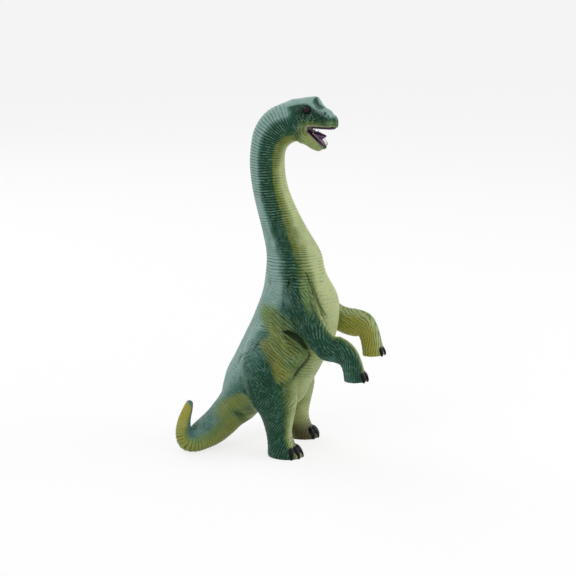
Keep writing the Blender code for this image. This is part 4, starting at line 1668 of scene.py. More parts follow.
def jaw_outline():
    """The side view of the space that the lower jaw fills, from the middle of the mouth down."""
    (_, roof_end), (corner, floor_end) = mouth_lines()
    front = corner + ((roof_end + floor_end) / 2 - corner) * 2
    rear = place(*jaw_rear_shares)
    drop = Vector((0, 0, -jaw_depth * 2))
    return [corner, front, front + drop, rear + drop, rear]


def head_solid():
    """The top of the neck, the skull and the lower jaw with the mouth open, before its detail."""
    neck = body_stations()[-3 * steps_between_rows:]
    skull = add_object("skull", loft([*neck, *domed(head_stations())]))
    below_mouth = side_prism([
        *mouth_outline(),
        place(*jaw_rear_shares) + Vector((0, 0, -jaw_depth * 2)),
        place(*jaw_rear_shares),
    ], -head_width, head_width)
    cut(skull, [("DIFFERENCE", below_mouth)])
    jaw = loft([moved(jaw_stations()[0], -core_overrun), *domed(jaw_stations())])
    cut(skull, [("UNION", jaw), ("DIFFERENCE", side_prism(mouth_outline(), -head_width, head_width))])
    return skull


def eye_centre(side):
    return place(*eye_shares, side * (head_width / 2 - eye_sunk_share * eye_radius))


def eye_ball(side, radius, segments=48):
    mesh = bmesh.new()
    turned = Matrix.Translation(eye_centre(side)) @ Matrix.Rotation(math.radians(90), 4, "X")
    bmesh.ops.create_uvsphere(
        mesh, u_segments=segments, v_segments=segments // 2, radius=radius, matrix=turned,
    )
    return mesh


def head_folds(points, facing):
    """Fine folds of the cheeks and snout, from 0 in the grooves to 1, and how tall they are."""
    forward, up = points[:, 0] / figure_height, points[:, 2] / figure_height
    edge = np.array(head_green_edge_shares)
    over_edge = up - np.interp(forward, edge[:, 0], edge[:, 1])
    squiggles = hatching(points, points[:, 2], points[:, 0], eye_fold_pitch, 131, (35, -48, 100))
    under_eye = fade(np.abs(over_edge - 0.012), 0.014, 0.026) * rise(forward, 0.040, 0.062)
    under_eye = under_eye * fade(forward, 0.130, 0.145)
    cheek = place(*cheek_shares)
    away = np.hypot(points[:, 0] - cheek.x, points[:, 2] - cheek.z)
    arcs = rings(points, away, cheek_fold_pitch, 141)
    near_cheek = fade(away, *cheek_range) * rise(away, *cheek_middle_range)
    near_cheek = near_cheek * fade(forward, 0.078, 0.096) * (1 - under_eye)
    pores = hatching(points, points[:, 2], points[:, 0], pore_pitch, 151, (10, 70))
    rest = np.clip(1 - under_eye - near_cheek, 0, 1)
    pattern = squiggles * under_eye + arcs * near_cheek + (0.55 + 0.45 * pores) * rest
    height = eye_fold_height * under_eye + cheek_fold_height * near_cheek + pore_height * rest
    return 1 - (1 - pattern) * facing, height


def eye_rings(points):
    """The lids stand proud round the eye, inside a shallow hollow."""
    eye = place(*eye_shares)
    away = np.hypot(points[:, 0] - eye.x, points[:, 2] - eye.z) / eye_radius
    lid = np.exp(-((away - 1.18) / 0.20) ** 2)
    hollow = np.exp(-((away - 1.62) / 0.22) ** 2)
    outer = np.exp(-((away - 2.05) / 0.20) ** 2)
    return 0.34 * lid - 0.30 * hollow + 0.14 * outer


def make_head_skin():
    """The head's skin from the neck seam to the snout, with the lower jaw, before it is cut."""
    sizes = skin_sizes()
    skin = head_solid()
    skin.name = "head_skin"
    remesh(skin, sizes.head_grain)
    smooth(skin, 6)
    points, normals = points_and_normals(skin)
    places = find_places(points, ("body",))
    seam = neck_seam()
    past_seam = (points - np.array(seam.centre)) @ np.array(turn_of(seam).col[2])
    on_head = rise(past_seam, 0, head_paint_length)
    facing = side_facing(points, normals)
    neck_pattern, neck_height = body_folds(points, places["body"], sizes)
    head_pattern, head_height = head_folds(points, facing)
    crest = neck_pattern * (1 - on_head) + head_pattern * on_head
    fine = (neck_pattern - 1) * neck_height * (1 - on_head) + (head_pattern - 1) * head_height * on_head
    drawn = drawn_lines(points, facing, head_groove_shares, head_groove_depth, head_groove_width) * on_head
    raised = drawn_lines(points, facing, head_ridge_shares, head_ridge_height, head_ridge_width) * on_head
    lids = eye_rings(points) * facing * on_head * lid_height
    move_points(skin, points + normals * (fine - drawn + raised + lids)[:, None])
    paint_head(skin, points, normals, places, on_head, crest, drawn)
    return skin


def paint_head(skin, points, normals, places, on_head, crest, drawn):
    forward, up = points[:, 0] / figure_height, points[:, 2] / figure_height
    facing = side_facing(points, normals)
    neck_paint = body_spray(places["body"])
    upward = rise(normals[:, 2], 0.80, 0.93)
    top = np.maximum(patches(points, np.ones(len(points)), brow_patch_shares, 0.22), upward)
    top = top * rise(up, 0.930, 0.955)
    edge = np.array(head_green_edge_shares)
    over_edge = up - np.interp(forward, edge[:, 0], edge[:, 1])
    spray = np.interp(over_edge, (-0.050, -0.024, -0.008, 0.004, 0.022), (0.22, 0.30, 0.42, 0.57, 0.68))
    spray = spray + (0.47 - spray) * rise(forward, 0.112, 0.134) * fade(up, 0.938, 0.952)
    spray = spray + (1.00 - spray) * top
    # Painted shade: the nostril hollow is sprayed towards the deep green
    dark = patches(points, facing, nostril_shade_shares, 0.3)
    spray = spray + (0.74 - spray) * dark * 0.9
    spray = neck_paint["spray"] * (1 - on_head) + spray * on_head
    spray += spray_mottle(points)
    inside = mouth_share(points, normals)
    eye = place(*eye_shares)
    off_eye = np.hypot(points[:, 0] - eye.x, points[:, 2] - eye.z)
    # Painted shade round the eye: a band along it, and a ring just past the lids
    eye_hollow_shade = patches(points, facing, eye_shade_patch_shares, 0.5) * 0.40
    eye_hollow_shade = np.maximum(eye_hollow_shade, 0.95 * fade(off_eye, *eye_shade_range) * facing)
    rim_shares = head_ridge_shares[1:]
    rim = drawn_lines(points, facing, rim_shares, 1.0, lip_width) / rim_shares[0][0]
    lined = 0.30 + 0.70 * fade(np.abs(over_edge + 0.002), 0.022, 0.036)
    nothing = np.zeros(len(points))
    phase, ringed = fold_marks(points, places, skin_sizes())
    masks = {
        "spray": np.clip(spray, 0, 1),
        "warm": 0.16 * fade(np.abs(up - 0.912), 0.012, 0.035) * on_head,
        "flank": nothing,
        "pale": nothing,
        "crest": crest,
        # Painted shade in the head's grooves and in the hollow round the eye
        "fold": np.clip(drawn / groove_shade_depth + eye_hollow_shade, 0, 1),
        "nail": nothing,
        "shade": nothing,
        "mouth": inside,
        "lip": 0.8 * np.clip(rim, 0, 1) * (1 - inside),
        "made": np.ones(len(points)),
        "phase": phase,
        "ringed": ringed * (1 - on_head),
        "wire": lined * on_head * (1 - inside),
    }
    for name, values in masks.items():
        store(skin, name, values)


def mouth_share(points, normals):
    """1 on skin that lines the mouth."""
    (roof_start, roof_end), (floor_start, floor_end) = mouth_lines()
    total = np.zeros(len(points))
    sides = ((roof_start, roof_end, -1), (floor_start, floor_end, 1), (floor_start, roof_start, -1))
    for start, end, turn in sides:
        line = end - start
        across = Vector((-line.z, 0, line.x)).normalized() * turn
        facing_in = normals @ np.array(across)
        off = np.abs((points - np.array(start)) @ np.array(across))
        total = np.maximum(total, rise(facing_in, 0.35, 0.75) * fade(off, *mouth_paint_range))
    return total * fade(floor_start.x - points[:, 0], *mouth_corner_paint_range)


def cut_head(skin):
    head = copy_of(skin, "head_piece")
    cut(head, [
        ("DIFFERENCE", block_past(neck_seam(), figure_height / 3, -figure_height / 3)),
        ("DIFFERENCE", side_prism(jaw_outline(), -head_width, head_width)),
        ("DIFFERENCE", eye_ball(-1, eye_radius)),
        ("DIFFERENCE", eye_ball(1, eye_radius)),
    ])
    return head


def cut_lower_jaw(skin):
    jaw = copy_of(skin, "lower_jaw_piece")
    cut(jaw, [("INTERSECT", side_prism(jaw_outline(), -head_width, head_width))])
    return jaw


# Materials


def feed(tree, socket, value):
    """Sets a socket to a value or a plain colour, or links another socket to it."""
    if isinstance(value, bpy.types.NodeSocket):
        tree.links.new(value, socket)
    elif socket.type == "RGBA":
        socket.default_value = (*value, 1)
    else:
        socket.default_value = value


def mixed(tree, share, first, second):
    """The second colour laid over the first, by a share from 0 to 1."""
    made = tree.nodes.new("ShaderNodeMix")
    made.data_type = "RGBA"
    feed(tree, made.inputs[0], share)
    feed(tree, made.inputs[6], first)
    feed(tree, made.inputs[7], second)
    return made.outputs[2]


def maths(tree, operation, *values):
    made = tree.nodes.new("ShaderNodeMath")
    made.operation = operation
    made.use_clamp = operation in ("MULTIPLY", "MULTIPLY_ADD")
    for socket, value in zip(made.inputs, values):
        feed(tree, socket, value)
    return made.outputs[0]


def mask(tree, name):
    """A paint mask kept on the skin's points."""
    made = tree.nodes.new("ShaderNodeAttribute")
    made.attribute_name = name
    return made.outputs["Fac"]


def grain(tree, scale, detail=3.0, roughness=0.55, stretch=(1, 1, 1)):
    """Noise on the object's own coordinates, in lumps of one over the scale."""
    place_node = tree.nodes.new("ShaderNodeTexCoord")
    turn = tree.nodes.new("ShaderNodeMapping")
    turn.inputs["Scale"].default_value = stretch
    tree.links.new(place_node.outputs["Object"], turn.inputs["Vector"])
    made = tree.nodes.new("ShaderNodeTexNoise")
    made.inputs["Scale"].default_value = scale
    made.inputs["Detail"].default_value = detail
    made.inputs["Roughness"].default_value = roughness
    tree.links.new(turn.outputs["Vector"], made.inputs["Vector"])
    return made.outputs["Fac"]


def ramp(tree, value, low, high):
    """0 below low, 1 above high."""
    made = tree.nodes.new("ShaderNodeMapRange")
    feed(tree, made.inputs["Value"], value)
    made.inputs["From Min"].default_value = low
    made.inputs["From Max"].default_value = high
    return made.outputs["Result"]


def ring_wave(tree, phase):
    """1 on the ridges and 0 in the grooves of folds that are counted by their phase."""
    turned = tree.nodes.new("ShaderNodeMath")
    turned.operation = "MULTIPLY"
    feed(tree, turned.inputs[0], phase)
    feed(tree, turned.inputs[1], 2 * math.pi)
    wave = maths(tree, "COSINE", turned.outputs[0])
    return maths(tree, "MULTIPLY_ADD", wave, 0.5, 0.5)


def network(tree, scale, wander, low, high, stretch=(1, 1, 1)):
    """Fine lines between cells one over the scale wide: 1 on the lines, 0 inside the cells."""
    place_node = tree.nodes.new("ShaderNodeTexCoord")
    drift = tree.nodes.new("ShaderNodeTexNoise")
    drift.inputs["Scale"].default_value = scale * 0.30
    drift.inputs["Detail"].default_value = 2.0
    tree.links.new(place_node.outputs["Object"], drift.inputs["Vector"])
    moved_place = tree.nodes.new("ShaderNodeVectorMath")
    moved_place.operation = "MULTIPLY_ADD"
    moved_place.inputs[1].default_value = (wander, wander, wander)
    tree.links.new(drift.outputs["Color"], moved_place.inputs[0])
    tree.links.new(place_node.outputs["Object"], moved_place.inputs[2])
    turn = tree.nodes.new("ShaderNodeMapping")
    turn.inputs["Scale"].default_value = stretch
    tree.links.new(moved_place.outputs["Vector"], turn.inputs["Vector"])
    cells = tree.nodes.new("ShaderNodeTexVoronoi")
    cells.feature = "DISTANCE_TO_EDGE"
    cells.inputs["Scale"].default_value = scale
    tree.links.new(turn.outputs["Vector"], cells.inputs["Vector"])
    return ramp(tree, cells.outputs["Distance"], high, low)


def palette(tree, value, stops):
    """A smooth run of colours along a value from 0 to 1."""
    made = tree.nodes.new("ShaderNodeValToRGB")
    made.color_ramp.interpolation = "EASE"
    elements = made.color_ramp.elements
    while len(elements) < len(stops):
        elements.new(1.0)
    for element, (position, colour) in zip(elements, stops):
        element.position = position
        element.color = (*colour, 1)
    feed(tree, made.inputs["Fac"], value)
    return made.outputs["Color"]


def washed(tree, share, colour, tint):
    """A colour darkened by a tint, by a share from 0 to 1."""
    made = tree.nodes.new("ShaderNodeMix")
    made.data_type = "RGBA"
    made.blend_type = "MULTIPLY"
    feed(tree, made.inputs[0], share)
    feed(tree, made.inputs[6], colour)
    feed(tree, made.inputs[7], tint)
    return made.outputs[2]


def edged(tree, value, scale, amount, low, high):
    """A mask whose edge is roughened by noise, as sprayed paint's edge is."""
    lowered = maths(tree, "SUBTRACT", value, amount / 2)
    return ramp(tree, maths(tree, "MULTIPLY_ADD", grain(tree, scale), amount, lowered), low, high)


def new_material(name):
    material = bpy.data.materials.new(name)
    material.use_nodes = True
    return material, material.node_tree, material.node_tree.nodes["Principled BSDF"]


def bumped(tree, shader, height, distance, strength):
    bump = tree.nodes.new("ShaderNodeBump")
    bump.inputs["Distance"].default_value = distance
    bump.inputs["Strength"].default_value = strength
    tree.links.new(height, bump.inputs["Height"])
    tree.links.new(bump.outputs["Normal"], shader.inputs["Normal"])


def sprayed_colour(tree, spray, colours):
    """The sprayed colours from the throat to the back, with the patches laid over them."""
    colour = palette(tree, spray, (
        (0.00, colours.throat), (0.20, colours.lime), (0.38, colours.moss), (0.50, colours.green),
        (0.64, colours.deep), (0.70, colours.deep), (0.82, colours.teal), (1.00, colours.back),
    ))
    for name, scale, spread, low, laid in (
        ("flank", 200, 0.25, 0.10, colours.flank),
        ("pale", 200, 0.25, 0.10, colours.back),
        ("warm", 160, 0.30, 0.05, colours.olive),
    ):
        share = edged(tree, mask(tree, name), scale, spread, low, 1 - low)
        colour = mixed(tree, share, colour, laid)
    return colour


def fold_crest(tree):
    """1 on the ridges of the folds and 0 in their grooves."""
    wave = ring_wave(tree, mask(tree, "phase"))
    ringed = mask(tree, "ringed")
    moulded = maths(tree, "MULTIPLY", mask(tree, "crest"), maths(tree, "SUBTRACT", 1.0, ringed))
    return maths(tree, "MULTIPLY_ADD", wave, ringed, moulded)


def skin_lines(tree):
    """Fine lines that are brushed light, and cracks between them that the wash darkens."""
    broken = ramp(tree, grain(tree, 420, 2), 0.38, 0.54)
    lines = maths(tree, "MULTIPLY", network(tree, 300, wire_wander, 0.02, 0.12, (1.0, 1.0, 0.55)), broken)
    wire = maths(tree, "MULTIPLY", lines, mask(tree, "wire"))
    fine = network(tree, 380, crack_wander, 0.02, 0.14, (1.0, 1.0, 0.60))
    fine = maths(tree, "MULTIPLY", fine, mask(tree, "wire"))
    return wire, maths(tree, "MULTIPLY", fine, ramp(tree, grain(tree, 450, 2), 0.42, 0.54))


def painted_skin():
    """Sprayed and dry-brushed paint over moulded soft plastic, with painted shade in the deep folds and
    hollows and low on the feet's inner sides.
    """
    if "painted_skin" in bpy.data.materials:
        return bpy.data.materials["painted_skin"]
    colours = paints()
    material, tree, shader = new_material("painted_skin")
    lowered = maths(tree, "SUBTRACT", mask(tree, "spray"), 0.04)
    spray = maths(tree, "MULTIPLY_ADD", grain(tree, 420, 4), 0.08, lowered)
    colour = sprayed_colour(tree, spray, colours)
    crest = fold_crest(tree)
    wire, cracks = skin_lines(tree)
    patchy = ramp(tree, grain(tree, 380, 4), 0.38, 0.58)
    ridge = maths(tree, "MULTIPLY", ramp(tree, crest, 0.58, 0.90), patchy)
    ridge = maths(tree, "MULTIPLY", ridge, 0.36)
    brushed = maths(tree, "MAXIMUM", ridge, maths(tree, "MULTIPLY", wire, 0.50))
    brushed = maths(tree, "MULTIPLY", brushed, ramp(tree, grain(tree, 110, 3), 0.30, 0.56))
    colour = mixed(tree, brushed, colour, colours.brushed)
    washed_share = maths(tree, "MULTIPLY_ADD", ramp(tree, spray, 0.84, 0.98), -0.12, 0.92)
    groove = maths(tree, "MULTIPLY", ramp(tree, crest, 0.38, 0.04), washed_share)
    groove = maths(tree, "MAXIMUM", groove, maths(tree, "MULTIPLY", cracks, 0.55))
    colour = washed(tree, groove, colour, colours.wash)
    # Painted shade in the deep folds and hollows, laid on through the fold mask
    colour = mixed(tree, maths(tree, "MULTIPLY", mask(tree, "fold"), 0.92), colour, colours.crease_shade)
    # The shade mask lays dark brown paint with painted shadow on the feet
    for name, laid in (
        ("shade", colours.umber_and_shadow), ("lip", colours.lip), ("mouth", colours.mouth), ("nail", colours.nail),
    ):
        colour = mixed(tree, mask(tree, name), colour, laid)
    tree.links.new(colour, shader.inputs["Base Color"])
    gloss = maths(tree, "MULTIPLY_ADD", grain(tree, 500, 2), 0.16, 0.32)
    gloss = maths(tree, "SUBTRACT", gloss, maths(tree, "MULTIPLY", mask(tree, "nail"), 0.24))
    tree.links.new(gloss, shader.inputs["Roughness"])
    shader.inputs["Specular IOR Level"].default_value = 0.12
    raised = maths(tree, "MULTIPLY_ADD", wire, 0.5, 0.5)
    relief = maths(tree, "SUBTRACT", raised, maths(tree, "MULTIPLY", cracks, 0.5))
    bumped(tree, shader, relief, skin_relief, 0.8)
    return material


def mouth_paint():
    """Glossy purple with paler and darker streaks."""
    if "painted_mouth" in bpy.data.materials:
        return bpy.data.materials["painted_mouth"]
    colours = paints()
    material, tree, shader = new_material("painted_mouth")
    streaks = ramp(tree, grain(tree, 420, 3, 0.5, (0.4, 1, 1)), 0.42, 0.66)
    colour = mixed(tree, streaks, colours.mouth, colours.tongue)
    colour = mixed(tree, mask(tree, "tooth"), colour, colours.tooth)
    tree.links.new(colour, shader.inputs["Base Color"])
    gloss = maths(tree, "MULTIPLY_ADD", grain(tree, 600, 2), 0.14, 0.24)
    tree.links.new(gloss, shader.inputs["Roughness"])
    bumped(tree, shader, grain(tree, 1500, 3), mouth_relief, 0.5)
    return material


def eye_paint():
    """A dark glossy eye with a red-brown ring round the pupil."""
    if "painted_eye" in bpy.data.materials:
        return bpy.data.materials["painted_eye"]
    colours = paints()
    material, tree, shader = new_material("painted_eye")
    ring = mask(tree, "iris")
    speckle = ramp(tree, grain(tree, 1500, 3), 0.35, 0.65)
    darker = tuple(channel * 0.5 for channel in colours.iris)
    iris = mixed(tree, speckle, colours.iris, darker)
    colour = mixed(tree, ring, colours.nail, iris)
    tree.links.new(colour, shader.inputs["Base Color"])
    shader.inputs["Roughness"].default_value = 0.10
    shader.inputs["Specular IOR Level"].default_value = 0.08
    shader.inputs["Coat Weight"].default_value = 0.12
    shader.inputs["Coat Roughness"].default_value = 0.05
    bumped(tree, shader, grain(tree, 900, 2), eye_relief, 0.3)
    return material


def pin_nylon():
    """Natural nylon with a faint mottle and a fine grain in its bump."""
    if "moulded_nylon" in bpy.data.materials:
        return bpy.data.materials["moulded_nylon"]
    colours = paints()
    material, tree, shader = new_material("moulded_nylon")
    mottle = ramp(tree, grain(tree, 400, 3), 0.35, 0.7)
    shaded = tuple(channel * 0.82 for channel in colours.nylon)
    colour = mixed(tree, mottle, colours.nylon, shaded)
    tree.links.new(colour, shader.inputs["Base Color"])
    gloss = maths(tree, "MULTIPLY_ADD", grain(tree, 700, 2), 0.15, 0.34)
    tree.links.new(gloss, shader.inputs["Roughness"])
    bumped(tree, shader, grain(tree, 1800, 2), nylon_relief, 0.4)
    return material


# Mouth, eyes and swivel parts


def merged_copy(node):
    """A solid's mesh with its loose triangles joined, as a start for a finer piece."""
    mesh = bmesh.new()
    mesh.from_mesh(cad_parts[node].data)
    bmesh.ops.remove_doubles(mesh, verts=list(mesh.verts), dist=1e-6)
    return mesh


def lip_line(stations, start_shares, line_end_shares):
    """The rim of the mouth's floor or roof: distance along it and distance off the mid-plane."""
    corner = place(*start_shares)
    direction = (place(*line_end_shares) - corner).normalized()
    rim = [
        ((station.centre - corner).dot(direction), station.half_width - tooth_inset)
        for station in stations
    ]
    rim = [(along, side) for along, side in rim if side > 0]
    end = rim[-1][0] + rim[-1][1] * 0.7
    half = np.array([*rim, (end, 0.0)])
    return half, corner, direction


def tooth_places(stations, start_shares, line_end_shares):
    """Points and sides of the teeth round a jaw, evenly spaced along its rim."""
    half, corner, direction = lip_line(stations, start_shares, line_end_shares)
    steps = np.linalg.norm(np.diff(half, axis=0), axis=1)
    runs = np.concatenate([[0], np.cumsum(steps)])
    places = []
    for run in np.arange(runs[-1] - tooth_pitch / 2, 0, -tooth_pitch):
        along = float(np.interp(run, runs, half[:, 0]))
        side = float(np.interp(run, runs, half[:, 1]))
        if along > first_tooth_run:
            for sign in (-1, 1):
                places.append(corner + direction * along + Vector((0, sign * side, 0)))
    return places, Vector((-direction.z, 0, direction.x))


def laid_along(mesh, old_line, new_line):
    """Turns a lining in the side view, from its own line to the mouth's."""
    old, new = old_line[1] - old_line[0], new_line[1] - new_line[0]
    turn = math.atan2(new.z, new.x) - math.atan2(old.z, old.x)
    turned = Matrix.Rotation(-turn, 4, "Y")
    matrix = Matrix.Translation(new_line[1]) @ turned @ Matrix.Translation(-old_line[1])
    bmesh.ops.transform(mesh, matrix=matrix, verts=mesh.verts)
    return mesh


def tooth_cone(point, up):
    mesh = bmesh.new()
    turned = up.to_track_quat("Z", "Y").to_matrix().to_4x4()
    bmesh.ops.create_cone(
        mesh, cap_ends=True, segments=12, radius1=tooth_radius, radius2=tooth_radius * 0.25,
        depth=tooth_length, matrix=Matrix.Translation(point + up * tooth_length / 2) @ turned,
    )
    return mesh


def make_lining(node, stations, lines, turn):
    """A mouth lining with its row of small teeth."""
    own_end_shares, start_shares, line_end_shares = lines
    places, up = tooth_places(stations, start_shares, line_end_shares)
    up = up * turn
    teeth = [tooth_cone(point + up * tooth_root, up) for point in places]
    own_line = (place(*lining_corner_shares), place(*own_end_shares))
    pad = laid_along(merged_copy(node), own_line, (place(*start_shares), place(*line_end_shares)))
    lining = add_object(node + "_piece", join_meshes([pad, *teeth]))
    remesh(lining, lining_grain)
    smooth(lining, 2)
    points, normals = points_and_normals(lining)
    line = np.array([point + up * tooth_root for point in places])
    tooth = np.zeros(len(points))
    for base in line:
        offset = points - base
        height = offset @ np.array(up)
        away = np.linalg.norm(offset - height[:, None] * np.array(up), axis=1)
        near = fade(away, tooth_radius, tooth_blend_radius)
        tooth = np.maximum(tooth, near * rise(height, *tooth_paint_range))
    ripple = hatching(points, points[:, 0], points[:, 1], lining_ripple_pitch, 161, (8, 20))
    sunk = (ripple - 1) * lining_ripple_height * (1 - tooth)
    move_points(lining, points + normals * sunk[:, None])
    store(lining, "tooth", tooth)
    return lining


def make_eye(side):
    eye = add_object("eye_piece", eye_ball(side, eye_radius - eye_gap))
    points = points_and_normals(eye)[0]
    looking = Vector((0.22, side, 0.05)).normalized()
    offset = (points - np.array(eye_centre(side))) / eye_radius
    angle = np.degrees(np.arccos(np.clip(offset @ np.array(looking), -1, 1)))
    store(eye, "iris", fade(angle, 24, 32) * rise(angle, 10, 15))
    return eye


# Operators, one for each piece or pair


def shared_skin(name, make):
    """A skin that several pieces are cut from, made the first time that it is asked for."""
    skin = bpy.data.objects.get(name)
    if skin is None:
        skin = make()
        skin.hide_render = True
    return skin


def trunk_skin():
    return shared_skin("trunk_skin", make_trunk_skin)


def foreleg_skin():
    return shared_skin("foreleg_skin", make_foreleg_skin)


def head_skin():
    return shared_skin("head_skin", make_head_skin)


class FIGURE_OT_body(bpy.types.Operator):
    """Cuts the two halves of the trunk and neck"""

    bl_idname = "figure.body"
    bl_label = "Trunk and neck"

    def execute(self, context):
        for word, side in (("right", -1), ("left", 1)):
            half = cut_body_half(trunk_skin(), f"trunk_and_neck_{word}", side)
            finish_piece(half, "body", painted_skin(), "green_skin", f"body_{word}_half")
        return {"FINISHED"}


class FIGURE_OT_tail(bpy.types.Operator):
    """Cuts the tail and its tip"""

    bl_idname = "figure.tail"
    bl_label = "Tail"

    def execute(self, context):
        seam = (tail_tip_row - 1) * steps_between_rows
        thick = cut_tail(trunk_skin(), "tail_skin", 0, seam + 1)
        finish_piece(thick, "body", painted_skin(), "green_skin", "tail")
        tip = cut_tail(trunk_skin(), "tail_tip_skin", seam, None)
        finish_piece(tip, "body", painted_skin(), "olive_skin", "tail_tip")
        return {"FINISHED"}


class FIGURE_OT_hind_legs(bpy.types.Operator):
    """Cuts the two hind legs"""

    bl_idname = "figure.hind_legs"
    bl_label = "Hind legs"

    def execute(self, context):
        for word, side in (("right", -1), ("left", 1)):
            leg = cut_hind_leg(trunk_skin(), f"hind_leg_skin_{word}", side)
            finish_piece(leg, "body", painted_skin(), "green_skin", f"{word}_hind_leg")
        return {"FINISHED"}


class FIGURE_OT_forelegs(bpy.types.Operator):
    """Cuts the two swivelling forelegs"""

    bl_idname = "figure.forelegs"
    bl_label = "Forelegs"

    def execute(self, context):
        for word, side, shares in (("right", -1, right_foreleg_shares), ("left", 1, left_foreleg_shares)):
            leg = cut_foreleg(foreleg_skin(), f"foreleg_skin_{word}", side, shares)
            finish_piece(leg, f"{word}_foreleg", painted_skin(), "green_skin", f"{word}_foreleg")
        return {"FINISHED"}


class FIGURE_OT_head(bpy.types.Operator):
    """Cuts the head and the lower jaw"""

    bl_idname = "figure.head"
    bl_label = "Head and jaw"

    def execute(self, context):
        head = cut_head(head_skin())
        finish_piece(head, "body", painted_skin(), "green_skin", "head")
        jaw = cut_lower_jaw(head_skin())
        finish_piece(jaw, "body", painted_skin(), "olive_skin", "lower_jaw")
        return {"FINISHED"}


class FIGURE_OT_mouth(bpy.types.Operator):
    """Makes the mouth's linings with the teeth and tongue"""

    bl_idname = "figure.mouth"
    bl_label = "Mouth"

    def execute(self, context):
        roof = (lining_roof_shares, mouth_roof_start_shares, mouth_roof_shares)
        floor = (mouth_floor_shares, mouth_floor_start_shares, mouth_floor_shares)
        upper = make_lining("upper_mouth_lining", head_stations(), roof, -1)
        finish_piece(upper, "body", mouth_paint(), "mouth_paint", "upper_mouth_lining")
        lower = make_lining("lower_mouth_lining", jaw_stations(), floor, 1)
        finish_piece(lower, "body", mouth_paint(), "mouth_paint", "lower_mouth_lining")
        return {"FINISHED"}


class FIGURE_OT_eyes(bpy.types.Operator):
    """Makes the two eyes"""

    bl_idname = "figure.eyes"
    bl_label = "Eyes"

    def execute(self, context):
        for word, side in (("right", -1), ("left", 1)):
            eye = make_eye(side)
            eye.name = f"eye_{word}"
            finish_piece(eye, "body", eye_paint(), "eye_paint", f"{word}_eye")
        return {"FINISHED"}


class FIGURE_OT_swivels(bpy.types.Operator):
    """Gives the hidden pins and bushes of the shoulders their nylon"""

    bl_idname = "figure.swivels"
    bl_label = "Shoulder swivels"

    def execute(self, context):
        for word, kind in product(("right", "left"), ("pin", "bush")):
            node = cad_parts[f"{word}_shoulder_{kind}"]
            node.data.materials.clear()
            node.data.materials.append(pin_nylon())
        return {"FINISHED"}


class FIGURE_OT_stage(bpy.types.Operator):
    """Sets up the floor, the light and the camera"""

    bl_idname = "figure.stage"
    bl_label = "Studio"

    def execute(self, context):
        make_floor()
        light_world()
        for lamp in lamps:
            add_lamp(*lamp)
        place_camera()
        context.scene.view_settings.view_transform = "Standard"
        return {"FINISHED"}


class FIGURE_PT_panel(bpy.types.Panel):
    """Lists the figure's pieces in the sidebar"""

    bl_idname = "FIGURE_PT_panel"
    bl_label = "Rearing Dinosaur Figure"
    bl_space_type = "VIEW_3D"
    bl_region_type = "UI"
    bl_category = "Figure"

    def draw(self, context):
        layout = self.layout
        for settings in (context.scene.figure_skin, context.scene.figure_paint):
            box = layout.box()
            for name in settings.__annotations__:
                box.prop(settings, name)
        for operator in operators:
            layout.operator(operator.bl_idname)


# The studio


def make_floor():
    mesh = bmesh.new()
    bmesh.ops.create_circle(mesh, cap_ends=True, segments=96, radius=floor_radius)
    floor = add_object("studio_floor", mesh)
    material, tree, shader = new_material("studio_floor")
    shade = ramp(tree, grain(tree, 3, 2), 0.0, 1.0)
    white = paints().floor
    darker = tuple(channel * 0.995 for channel in white)
    tree.links.new(mixed(tree, shade, white, darker), shader.inputs["Base Color"])
    shader.inputs["Roughness"].default_value = 0.9
    shader.inputs["Specular IOR Level"].default_value = 0.0
    glow = tree.nodes.new("ShaderNodeEmission")
    glow.inputs["Strength"].default_value = 1.0
    blend = tree.nodes.new("ShaderNodeMixShader")
    tree.links.new(maths(tree, "MULTIPLY", seen_share(tree), floor_glow), blend.inputs[0])
    tree.links.new(shader.outputs[0], blend.inputs[1])
    tree.links.new(glow.outputs[0], blend.inputs[2])
    tree.links.new(blend.outputs[0], tree.nodes["Material Output"].inputs["Surface"])
    floor.data.materials.append(material)


def light_world():
    """An even white room, seen white by the camera."""
    world = bpy.data.worlds.new("studio")
    bpy.context.scene.world = world
    world.use_nodes = True
    tree = world.node_tree
    sky = tree.nodes["Background"]
    sky.inputs["Color"].default_value = (1, 1, 1, 1)
    strength = maths(tree, "MULTIPLY_ADD", seen_share(tree), 1 - room_light, room_light)
    tree.links.new(strength, sky.inputs["Strength"])


def add_lamp(name, position, size, power):
    light = bpy.data.lights.new(name, "AREA")
    light.shape = "DISK"
    light.size = size
    light.energy = power
    lamp = bpy.data.objects.new(name, light)
    lamp.location = position
    target = Vector((0, 0, figure_height / 2))
    lamp.rotation_euler = (target - Vector(position)).to_track_quat("-Z", "Y").to_euler()
    bpy.context.scene.collection.objects.link(lamp)


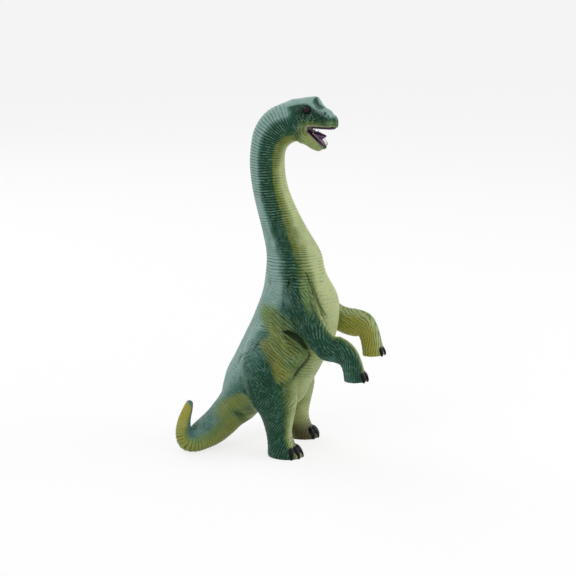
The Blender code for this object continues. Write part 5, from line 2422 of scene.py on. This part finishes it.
def place_camera():
    """The photograph's view: a little in front of the figure's right side and from above."""
    level = math.cos(camera_above)
    back = Vector((math.sin(camera_round) * level, -math.cos(camera_round) * level, math.sin(camera_above)))
    data = bpy.data.cameras.new("camera")
    data.sensor_width = 36
    data.lens = camera_lens
    data.clip_start, data.clip_end = camera_clip
    camera = bpy.data.objects.new("camera", data)
    camera.location = Vector(camera_target) + back * camera_distance
    camera.rotation_euler = (-back).to_track_quat("-Z", "Y").to_euler()
    bpy.context.scene.collection.objects.link(camera)
    bpy.context.scene.camera = camera


def seen_share(tree):
    """1 for rays that show the surface itself: straight to the camera, mirrored or through glass."""
    rays = tree.nodes.new("ShaderNodeLightPath")
    seen = maths(tree, "MAXIMUM", rays.outputs["Is Camera Ray"], rays.outputs["Is Transmission Ray"])
    return maths(tree, "MAXIMUM", seen, rays.outputs["Is Glossy Ray"])


operators = (
    FIGURE_OT_body, FIGURE_OT_tail, FIGURE_OT_hind_legs, FIGURE_OT_forelegs, FIGURE_OT_head,
    FIGURE_OT_mouth, FIGURE_OT_eyes, FIGURE_OT_swivels, FIGURE_OT_stage,
)
classes = (FigureSkin, FigurePaint, *operators, FIGURE_PT_panel)


def register():
    for made in classes:
        bpy.utils.register_class(made)
    bpy.types.Scene.figure_skin = bpy.props.PointerProperty(type=FigureSkin)
    bpy.types.Scene.figure_paint = bpy.props.PointerProperty(type=FigurePaint)


def unregister():
    del bpy.types.Scene.figure_paint
    del bpy.types.Scene.figure_skin
    for made in reversed(classes):
        bpy.utils.unregister_class(made)


def main():
    register()
    bpy.ops.figure.body()
    bpy.ops.figure.tail()
    bpy.ops.figure.hind_legs()
    bpy.ops.figure.forelegs()
    bpy.ops.figure.head()
    bpy.ops.figure.mouth()
    bpy.ops.figure.eyes()
    bpy.ops.figure.swivels()
    bpy.ops.figure.stage()
    for name in ("trunk_skin", "foreleg_skin", "head_skin"):
        bpy.data.objects.remove(bpy.data.objects[name], do_unlink=True)


if __name__ == "__main__":
    main()
